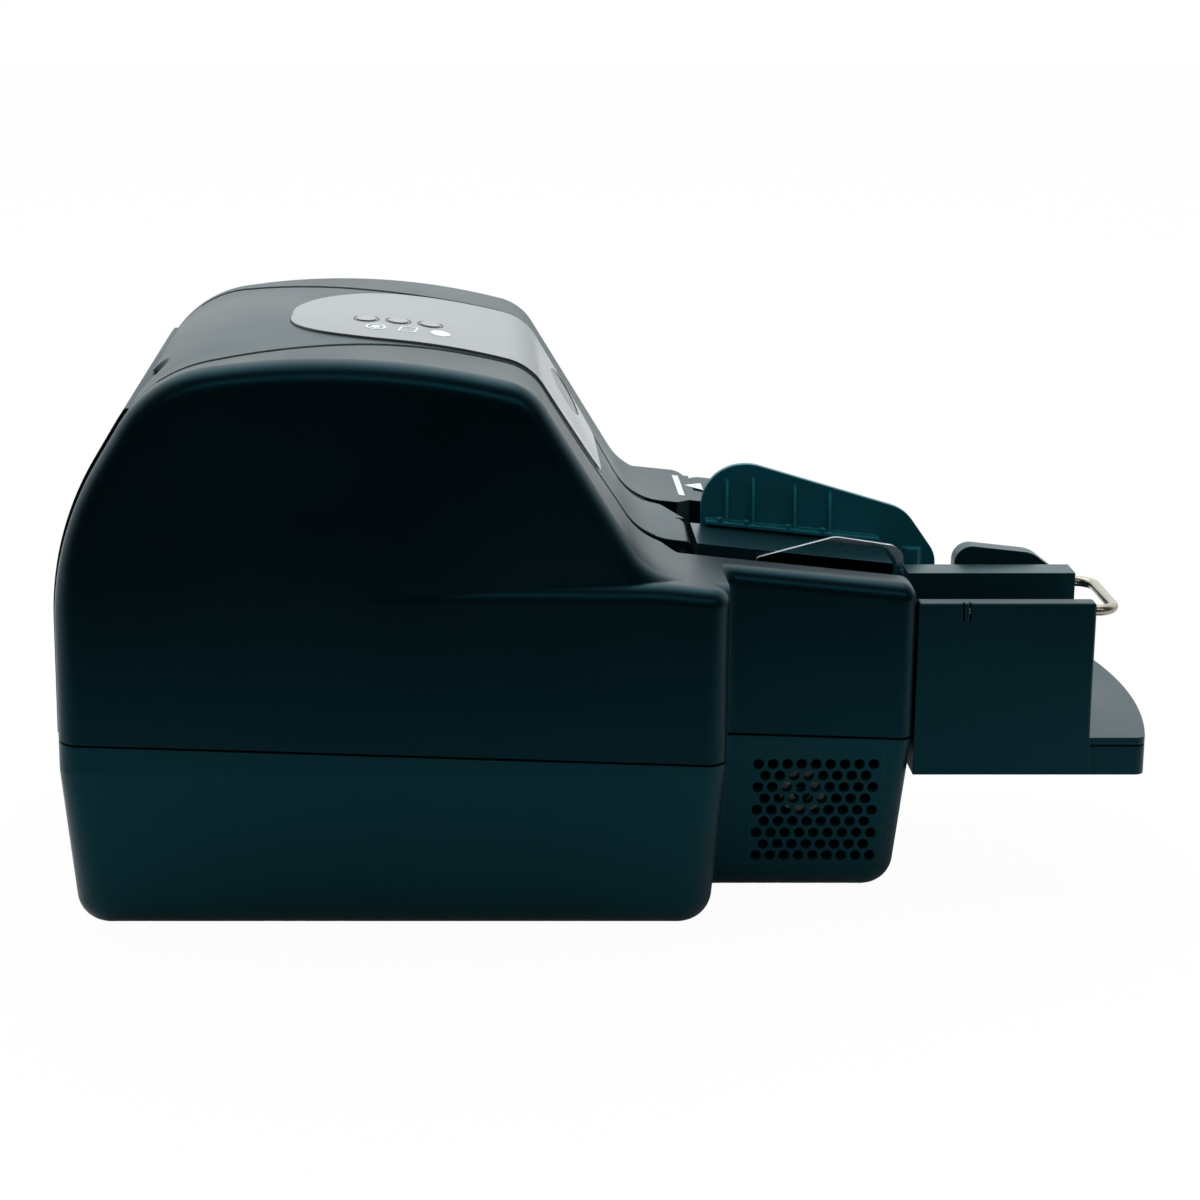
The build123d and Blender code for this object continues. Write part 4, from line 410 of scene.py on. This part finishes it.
# ---- rollers --------------------------------------------------------------------------------
# Driven rollers carry ground nitrile tyres on steel pins. The pinch rollers opposite are turned
# from natural acetal, and run free.
dress(rubber, "feed_roller", "pick_roller", "separator_roller",
      *[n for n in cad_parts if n.startswith("drive_roller")])
# Natural acetal is off-white and slightly waxy.
acetal = moulded_plastic("natural_acetal", "#e4e2da", 0.35, grain=0.6 * MM, bump=0.05, ior=1.48,
                         sheen=PLAIN_SHEEN, edge_highlight=0.0)
dress(acetal, *[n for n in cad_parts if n.startswith("pinch_roller")])

# ---- centre cover and hinge pin -------------------------------------------------------------
# The hinged cover is moulded in the same ABS with a slightly lighter pigment. A ground steel pin
# at its foot carries it.

# Charcoal beside the black casings: the same matt grain, a shade lighter.
cover_abs = moulded_plastic("spark_grained_charcoal_abs", "#08171a", SPARK_ROUGHNESS, edge_highlight=0.9)
dress(cover_abs, "centre_cover")
dress(steel, "hinge_pin")

# ---- painted seam shadows -------------------------------------------------------------------
# A thin near-black strip lies along each long edge of the cover, over the open seam to the casings.
# It is painted shadow of the seam, and reads as a black line.

# The plan line is in x and y, with the radius of each corner, all in millimetres.
SHADOW_LINE_ENDS = ((-123.0, 58.2), (11.5, 20.0))
SHADOW_LINE_CORNERS = ((-116.0, 58.2, 46.0), (-60.0, 39.6, 110.0), (-14.6, 37.8, 18.0), (4.5, 20.0, 18.0))
SHADOW_LINE_HALF = 0.95
SHADOW_LINE_PROUD = 0.1
SHADOW_LINE_DEEP = 0.6
SHADOW_LINE_INSET = 1.2                 # this far inside the edge the skin is clear of the rounding
SHADOW_LINE_SHIFT = 0.4                 # the line is the cover's edge, and the seam's middle lies this far out
BEND_STEPS = 12
RUN_STEP = 0.6
RAY_HEIGHT = 1.0                 # metres: well above the cover


def rounded_run(ends, corners):
    """A line with its corners (place and radius) rounded: at each an arc of radius r leaves one run
    and meets the next at r / tan(half the angle between them). Then it is divided evenly."""
    spots = np.array([ends[0], *[c[:2] for c in corners], ends[1]], float)
    line = [spots[0]]
    for a, b, c, radius in zip(spots, spots[1:], spots[2:], [c[2] for c in corners]):
        u, v = (a - b) / np.linalg.norm(a - b), (c - b) / np.linalg.norm(c - b)
        half = math.acos(float(u @ v)) / 2
        reach = radius / math.tan(half)
        share = np.linspace(0, 1, BEND_STEPS)[:, None]
        centre = b + (u + v) / np.linalg.norm(u + v) * radius / math.sin(half)
        first, last = b + u * reach - centre, b + v * reach - centre
        swing = math.pi - 2 * half
        arc = np.sin((1 - share) * swing) * first + np.sin(share * swing) * last
        line = [*line, *(centre + arc / math.sin(swing))]
    line = np.array([*line, spots[-1]])
    gone = np.concatenate([[0], np.cumsum(np.linalg.norm(np.diff(line, axis=0), axis=1))])
    even = np.linspace(0, gone[-1], round(gone[-1] / RUN_STEP))
    return np.stack([np.interp(even, gone, line[:, 0]), np.interp(even, gone, line[:, 1])], 1)


cover_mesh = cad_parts["centre_cover"].data
cover_points = np.zeros(len(cover_mesh.vertices) * 3)
cover_mesh.vertices.foreach_get("co", cover_points)
cover_skin = BVHTree.FromPolygons(cover_points.reshape(-1, 3).tolist(),
                                  [list(p.vertices) for p in cover_mesh.polygons])


def seam_shadow_strip(name, side, material):
    """The painted shadow of the seam along one edge: the plan line moved out and in by the half
    width, and closed below. The cover's skin is level across, so its height is read along a line
    just inside its edge, by rays from above, and set at each x by interpolation."""
    line = rounded_run(SHADOW_LINE_ENDS, SHADOW_LINE_CORNERS) * (1, side)
    along = np.gradient(line, axis=0)
    along = along / np.linalg.norm(along, axis=1, keepdims=True)
    out = np.stack([-along[:, 1], along[:, 0]], 1) * side
    inside = line - out * SHADOW_LINE_INSET
    found = [cover_skin.ray_cast((x * MM, y * MM, RAY_HEIGHT), (0, 0, -1))[0] for x, y in inside]
    known = np.array([(x, hit.z / MM) for (x, _), hit in zip(inside, found) if hit is not None])
    inner, outer = line - out * (SHADOW_LINE_HALF - SHADOW_LINE_SHIFT), line + out * (SHADOW_LINE_HALF + SHADOW_LINE_SHIFT)
    inner_top, outer_top = [np.interp(row[:, 0], known[:, 0], known[:, 1]) + SHADOW_LINE_PROUD
                            for row in (inner, outer)]
    rows = [np.column_stack([inner, inner_top]), np.column_stack([outer, outer_top]),
            np.column_stack([outer, outer_top - SHADOW_LINE_DEEP]),
            np.column_stack([inner, inner_top - SHADOW_LINE_DEEP])]
    count = len(line)
    starts = np.arange(len(rows)) * count
    faces = [quad for first, second in zip(starts, np.roll(starts, -1))
             for quad in band(second, first, count, closed=False)]
    faces += [[0, 3 * count, 2 * count, count], [count - 1, 2 * count - 1, 3 * count - 1, 4 * count - 1]]
    if side > 0:
        faces = [face[::-1] for face in faces]
    new_piece(name, np.concatenate(rows), faces, material, "cover")


# Near black and matt: painted shadow of the open seam, which throws back next to no light.
seam_shadow_black = moulded_plastic("painted_seam_shadow", "#020303", 0.9, grain=0.2 * MM, bump=0.3, ior=1.3, patch=6.0,
                       edge_highlight=0.0)
seam_shadow_strip("exit_side_seam_shadow", -1, seam_shadow_black)
seam_shadow_strip("entry_side_seam_shadow", 1, seam_shadow_black)

# ---- indicator panel ------------------------------------------------------------------------
# A grey overlay, lacquered and polished, set into the cover. Three oval lens caps lie in it, each
# with a thin dark gap round it, and three white pictograms are screen-printed beside them.

# Lacquer gives the panel a clear, slightly wavy shine that mirrors the wall.
panel_lacquer = moulded_plastic("gloss_lacquered_grey_abs", "#575b62", 0.16, grain=2.5 * MM, bump=0.03,
                                ior=1.45, sheen=PLAIN_SHEEN, edge_highlight=0.15)
dress(panel_lacquer, "indicator_panel")
# Unlit smoked acrylic is a shade lighter than the panel, and sharper in its shine.
lens_acrylic = moulded_plastic("smoked_lens_acrylic", "#62666b", 0.12, grain=2.0 * MM, bump=0.02, ior=1.45,
                               sheen=PLAIN_SHEEN, edge_highlight=0.0)
dress(lens_acrylic, "indicator_lamps")

INK_DEPTH = 0.06                 # the ink stands this proud, and reaches as far into the surface
CROWN_AT, CROWN_Z, CROWN_RADIUS = -80.0, -40.0, 200.6   # x and z of the arc's centre


def crown_height(x):
    """The indicator panel's crown: the arc z = CROWN_Z + sqrt(R^2 - (x - CROWN_AT)^2)."""
    return CROWN_Z + np.sqrt(CROWN_RADIUS ** 2 - (x - CROWN_AT) ** 2)


def oval(x, y, half_x, half_y, count=64):
    """An oval outline: (x + a cos t, y + b sin t)."""
    turn = np.linspace(0, 2 * np.pi, count, endpoint=False)
    return np.stack([x + half_x * np.cos(turn), y + half_y * np.sin(turn)], 1)


SHEET_STEPS = 6


def sheet_outline(x, y, half_x, half_y, slant):
    """A page outline: four straight runs of equal steps between its corners, x moved by slant * y."""
    corners = np.array([(-1, -1), (1, -1), (1, 1), (-1, 1), (-1, -1)], float) * (half_x, half_y)
    share = np.linspace(0, 1, SHEET_STEPS, endpoint=False)[:, None]
    runs = np.concatenate([a + (b - a) * share for a, b in zip(corners[:-1], corners[1:])])
    runs[:, 0] += runs[:, 1] * slant
    return runs + (x, y)


def ink_film(name, outlines, height, material, body):
    """A film of ink. Each outline, or pair of outer and inner outline with equal counts, is laid on
    the surface z = height(x) and raised by INK_DEPTH, with its rim closed down to the surface."""
    points, faces = [], []
    for outer, inner in outlines:
        loops = [outer] if inner is None else [outer, inner]
        count, top = len(outer), len(points)
        low = top + count * len(loops)
        for lift in (INK_DEPTH, -INK_DEPTH):
            for loop in loops:
                points.extend(np.column_stack([loop, height(loop[:, 0]) + lift]).tolist())
        if inner is None:
            faces += [list(range(top, top + count)), list(range(low + count - 1, low - 1, -1))]
        else:
            faces += band(top, top + count, count) + band(low + count, low, count)
            faces += band(top + count, low + count, count)
        faces += band(low, top, count)
    new_piece(name, points, faces, material, body)


# Screen ink is a flat, dense white; the gaps round the lamps are only shadow, near black.
white_ink = moulded_plastic("white_screen_ink", "#e6ecef", 0.45, grain=0.2 * MM, bump=0.1, ior=1.45,
                            patch=3.0, sheen=PLAIN_SHEEN, edge_highlight=0.0)
dark_gap = moulded_plastic("dark_gap_line", "#23262a", 0.5, grain=0.2 * MM, bump=0.1, ior=1.45,
                           patch=3.0, sheen=PLAIN_SHEEN, edge_highlight=0.0)
MARK_Y = -19.5
RING_X, PAGE_X, DOT_X = -67.0, -58.0, -49.0
PAGE_SLANT = 0.12
ring = (oval(RING_X, MARK_Y, 2.9, 4.2), oval(RING_X, MARK_Y, 2.2, 3.4))
core = (oval(RING_X, MARK_Y, 1.3, 2.1), None)
page = (sheet_outline(PAGE_X, MARK_Y, 2.5, 3.9, PAGE_SLANT),
        sheet_outline(PAGE_X, MARK_Y, 1.9, 3.2, PAGE_SLANT))
dot = (oval(DOT_X, MARK_Y, 2.8, 4.0), None)
ink_film("panel_pictograms", [ring, core, page, dot], crown_height, white_ink, "cover")

LAMP_AT = ((-70.0, -8.0), (-61.0, -8.0), (-52.0, -8.0))
LAMP_HALF = (3.25, 4.3)
LAMP_LINE = 0.45
gaps = [(oval(x, y, LAMP_HALF[0] + LAMP_LINE, LAMP_HALF[1] + LAMP_LINE), oval(x, y, *LAMP_HALF))
        for x, y in LAMP_AT]
ink_film("lamp_gap_lines", gaps, crown_height, dark_gap, "cover")

# ---- slope inlay ----------------------------------------------------------------------------
# An oval of dark grey ABS, moulded in a polished tool and pressed into its seat in the front
# slope of the panel.

# Polished ABS is even and fairly glossy, darker than the lacquer round it.
inlay_abs = moulded_plastic("polished_grey_inlay_abs", "#3a4144", 0.25, grain=1.5 * MM, bump=0.05, ior=1.45,
                            sheen=PLAIN_SHEEN, edge_highlight=0.1)
dress(inlay_abs, "slope_inlay")

# ---- entry landing and its marks ------------------------------------------------------------
# The casing's deck runs on past its shoulder as a thick lip of the same ABS, on which cheques are
# squared up. A stop bar and an arrow are screen-printed there in white.
DECK_AT, DECK_Z, DECK_FALL = 8.0, 100.0, 0.105


def deck_height(x):
    """The entry deck: a plane that falls by DECK_FALL for each millimetre along x."""
    return DECK_Z - DECK_FALL * (x - DECK_AT)


LANDING_X, LANDING_Y = (27.0, 43.0), (42.5, 61.5)
LANDING_THICK, LANDING_CORNER, LANDING_ROUNDING = 7.0, 5.0, 2.0
LANDING_STEPS = 8


def landing_ring(inset, drop):
    """One outline of the landing: a rectangle drawn in by inset, its corners arcs of the radius
    left, laid drop below the deck's plane."""
    turn = np.linspace(0, np.pi / 2, LANDING_STEPS)
    radius = LANDING_CORNER - inset
    x0, x1 = LANDING_X[0] + LANDING_CORNER, LANDING_X[1] - LANDING_CORNER
    y0, y1 = LANDING_Y[0] + LANDING_CORNER, LANDING_Y[1] - LANDING_CORNER
    corners = [(x1, y1, 0), (x0, y1, 1), (x0, y0, 2), (x1, y0, 3)]
    plan = np.concatenate([np.stack([x + radius * np.cos(turn + q * np.pi / 2),
                                     y + radius * np.sin(turn + q * np.pi / 2)], 1) for x, y, q in corners])
    return np.column_stack([plan, deck_height(plan[:, 0]) - drop])


def lofted(name, rings, material, body):
    """A closed form through rings of equal count, lowest last, with a flat cap at each end. The
    first ring's rim is tangent to its cap; the last one's is sharp."""
    count = len(rings[0])
    starts = np.arange(len(rings)) * count
    faces = [quad for k in range(len(rings) - 1) for quad in band(starts[k + 1], starts[k], count)]
    faces += [list(range(count)), (starts[-1] + np.arange(count)[::-1]).tolist()]
    mesh = new_piece(name, np.concatenate(rings), faces, material, body).data
    mesh.polygons.foreach_set("use_smooth", np.ones(len(faces), bool))
    ends = np.zeros(len(mesh.edges) * 2, int)
    mesh.edges.foreach_get("vertices", ends)
    sharp = mesh.attributes.new("sharp_edge", "BOOLEAN", "EDGE")
    sharp.data.foreach_set("value", (ends.reshape(-1, 2) >= starts[-1]).all(1))


bend = np.linspace(0, np.pi / 2, LANDING_STEPS)
rings = [landing_ring(LANDING_ROUNDING * (1 - np.sin(a)), LANDING_ROUNDING * (1 - np.cos(a))) for a in bend]
rings.append(landing_ring(0.0, LANDING_THICK))
lofted("entry_landing", rings, casing_abs, "body")

bar = np.array([(22.8, 33.5), (24.7, 33.5), (24.7, 58.5), (22.8, 58.5)])
arrow = np.array([(25.5, 47.0), (31.2, 42.9), (31.2, 51.6)])
ink_film("deck_marks", [(bar, None), (arrow, None)], deck_height, white_ink, "body")

# ---- exit deck and clear guide --------------------------------------------------------------
# The sloping deck between the casings is satin ABS. Along it stands a guide of clear polycarbonate,
# sawn to shape, so its edges are frosted. The same clear sheet glazes the two cameras.

# Paper keeps the deck polished: a low shine that fades down the slope.
deck_abs = moulded_plastic("satin_teal_black_abs", "#10282d", 0.30, bump=0.15, ior=1.45, edge_highlight=0.6)
dress(deck_abs, "centre_deck")

EDGE_SPAN = (0.4, 0.8)           # |n.y| on the cut edges, and on the sheet's faces
FROSTED_SHARE = 0.15             # of the light that passes a cut edge
HAZE_PATCH = 9 * MM
HAZE_DRIFT = 0.08


def clear_sheet(name, colour_hex, roughness, ior):
    """Clear sheet: full transmission, with broad noise for faint handling haze. The cut edges, whose
    normals lie across the sheet's own, are frosted white: their transmission falls as |n.y| does."""
    finish = bpy.data.materials.new(name)
    finish.use_nodes = True
    tree = finish.node_tree
    shader = tree.nodes["Principled BSDF"]
    shader.inputs["IOR"].default_value = ior
    shader.inputs["Base Color"].default_value = linear(colour_hex)
    place = add(tree, "ShaderNodeTexCoord")
    facing = add(tree, "ShaderNodeSeparateXYZ", links={0: place.outputs["Normal"]})
    across = add(tree, "ShaderNodeMath", {"operation": "ABSOLUTE"}, {0: facing.outputs["Y"]})
    passing = add(tree, "ShaderNodeMapRange",
                  {"From Min": EDGE_SPAN[0], "From Max": EDGE_SPAN[1],
                   "To Min": FROSTED_SHARE, "To Max": 1.0}, {"Value": across.outputs[0]})
    tree.links.new(passing.outputs[0], shader.inputs["Transmission Weight"])
    haze = add(tree, "ShaderNodeTexNoise", {"Scale": 1.0 / HAZE_PATCH, "Detail": NOISE_LAYERS},
               {"Vector": place.outputs["Object"]})
    gloss = add(tree, "ShaderNodeMapRange",
                {"From Min": NOISE_SPAN[0], "From Max": NOISE_SPAN[1],
                 "To Min": roughness, "To Max": roughness + HAZE_DRIFT},
                {"Value": haze.outputs["Fac"]})
    tree.links.new(gloss.outputs[0], shader.inputs["Roughness"])
    return finish


# Polycarbonate is water-clear and faintly blue, and shows mostly by its pale edges.
polycarbonate = clear_sheet("clear_polycarbonate", "#dfeaf1", 0.03, 1.58)
dress(polycarbonate, "clear_exit_guide", "camera_glass_entry", "camera_glass_exit")

# ---- pusher plate ---------------------------------------------------------------------------
# The sprung plate that holds the cheques in the hopper: thin ribbed ABS, bluish black, painted a clearer
# teal that stands in for the light it catches from above. It swings on a ground steel pin in the barrel at
# its front end.
PLATE_Y = (1.6, 3.6)             # near and far face
# The plate's outline is in x and z, with the radius of each corner.
PLATE_ENDS = ((26.4, 51.0), (95.0, 51.0))
PLATE_CORNERS = ((26.4, 114.6, 12.0), (40.5, 116.0, 14.0), (85.6, 102.4, 12.0), (95.0, 89.0, 9.0))
RIB_AT = ((33.7, 112.0), (41.3, 112.4), (53.4, 110.4), (63.6, 108.4))   # x, top z
RIB_Y = (-1.6, 2.1)              # near edge, and the edge sunk in the plate
RIB_WIDTH, RIB_LEAN, RIB_SHOULDER = 0.9, 1.6, 3.0
LEDGE_X, LEDGE_Y = (27.6, 78.0), (-1.8, 2.4)
LEDGE_LIFT, LEDGE_THICK = 0.7, 1.2                # it runs this far above the deck
PEG_AT = (31.5, 39.2, 51.4, 61.4)
PEG_Y, PEG_HALF, PEG_SUNK, PEG_RISE = -2.0, 0.8, 0.2, 1.3
BARREL_AT, BARREL_RADIUS, BARREL_Z, BARREL_SIDES = (88.0, 2.6), 3.0, (51.0, 91.0), 40
PLATE_ROUNDING, PLATE_EDGE = 0.3, 40.0            # radius, and the least turn in degrees that gets it


def prism(loop, way):
    """A loop of points moved along way: the two ends as flat faces, joined by a band of quads.
    Gives the points and the faces, which may point in or out."""
    count = len(loop)
    low_end, high_end = list(range(count))[::-1], list(range(count, 2 * count))
    return np.concatenate([loop, loop + way]), band(0, count, count) + [low_end, high_end]


def joined(name, solids, material, body):
    """One mesh of several closed solids, turned outwards, its edges rounded by a bevel."""
    starts = np.cumsum([0] + [len(points) for points, _ in solids])
    faces = [[start + k for k in face] for start, (_, solid_faces) in zip(starts, solids)
             for face in solid_faces]
    piece = new_piece(name, np.concatenate([points for points, _ in solids]), faces, material, body)
    work = bmesh.new()
    work.from_mesh(piece.data)
    bmesh.ops.recalc_face_normals(work, faces=work.faces)
    work.to_mesh(piece.data)
    work.free()
    piece.data.polygons.foreach_set("use_smooth", np.ones(len(faces), bool))
    soft = piece.modifiers.new("edges", "BEVEL")
    soft.width, soft.segments = PLATE_ROUNDING * MM, 2
    soft.limit_method, soft.angle_limit = "ANGLE", math.radians(PLATE_EDGE)
    soft.harden_normals = True
    return piece


def side_view(points, y):
    """A loop drawn as (x, z), set at depth y."""
    points = np.array(points, float)
    return np.column_stack([points[:, 0], np.full(len(points), y), points[:, 1]])


plate = rounded_run(PLATE_ENDS, PLATE_CORNERS)[::2]   # every second point is fine enough here
solids = [prism(side_view(plate, PLATE_Y[0]), (0, PLATE_Y[1] - PLATE_Y[0], 0))]
for x, top in RIB_AT:
    foot = deck_height(x) + LEDGE_LIFT
    section = [(RIB_Y[1], foot), (RIB_Y[0], foot),
               (RIB_Y[0] + RIB_LEAN, top - RIB_SHOULDER), (RIB_Y[1], top)]
    solids.append(prism(np.array([(x - RIB_WIDTH / 2, y, z) for y, z in section]), (RIB_WIDTH, 0, 0)))
ledge = [(x, deck_height(x) + LEDGE_LIFT) for x in LEDGE_X]
ledge += [(x, z + LEDGE_THICK) for x, z in ledge[::-1]]
solids.append(prism(side_view(ledge, LEDGE_Y[0]), (0, LEDGE_Y[1] - LEDGE_Y[0], 0)))
for x in PEG_AT:
    low = deck_height(x) + LEDGE_LIFT
    high = low + LEDGE_THICK + PEG_RISE
    peg = [(x - PEG_HALF, low + PEG_SUNK), (x + PEG_HALF, low + PEG_SUNK),
           (x + PEG_HALF, high), (x - PEG_HALF, high)]
    solids.append(prism(side_view(peg, PEG_Y), (0, 2 * PEG_HALF, 0)))
circle = oval(*BARREL_AT, BARREL_RADIUS, BARREL_RADIUS, BARREL_SIDES)
barrel = np.column_stack([circle, np.full(BARREL_SIDES, BARREL_Z[0])])
solids.append(prism(barrel, (0, 0, BARREL_Z[1] - BARREL_Z[0])))
# The plate is the clearest teal on the machine: its colour is lightened as painted light, for the light it
# catches from above.
plate_abs = moulded_plastic("ribbed_teal_abs", "#195b66", 0.34, bump=0.2, ior=1.45, edge_highlight=1.2)
flap = joined("pusher_flap", solids, plate_abs, "pusher")
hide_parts("pusher_plate")
dress(steel, "pusher_pin")

# ---- exit pocket ----------------------------------------------------------------------------
# The tray is grained ABS like the pan, with a tongue that lies under the chassis. Its outer wall
# and its divider stand on it. The stop is one length of nickel-plated spring wire, bent cold,
# that slides in two bores.

# Matt like the pan, and a shade darker than it.
tray_abs = moulded_plastic("spark_grained_dark_teal_abs", "#05171a", SPARK_ROUGHNESS, edge_highlight=0.9)
dress(tray_abs, "front_tray", "pocket_wall")
# The divider takes a lighter shade of the tray's ABS, and a little less roughness.
divider_abs = moulded_plastic("spark_grained_teal_abs", "#0f2d32", 0.34, edge_highlight=0.9)
dress(divider_abs, "pocket_divider")
# Nickel is a warm grey mirror, drawn out along the wire.
nickel = machined_metal("bright_nickel_wire", "#9d9688", 0.26, (0.3, 0.3, 1.0), 0.1)
dress(nickel, "pocket_stop_wire")
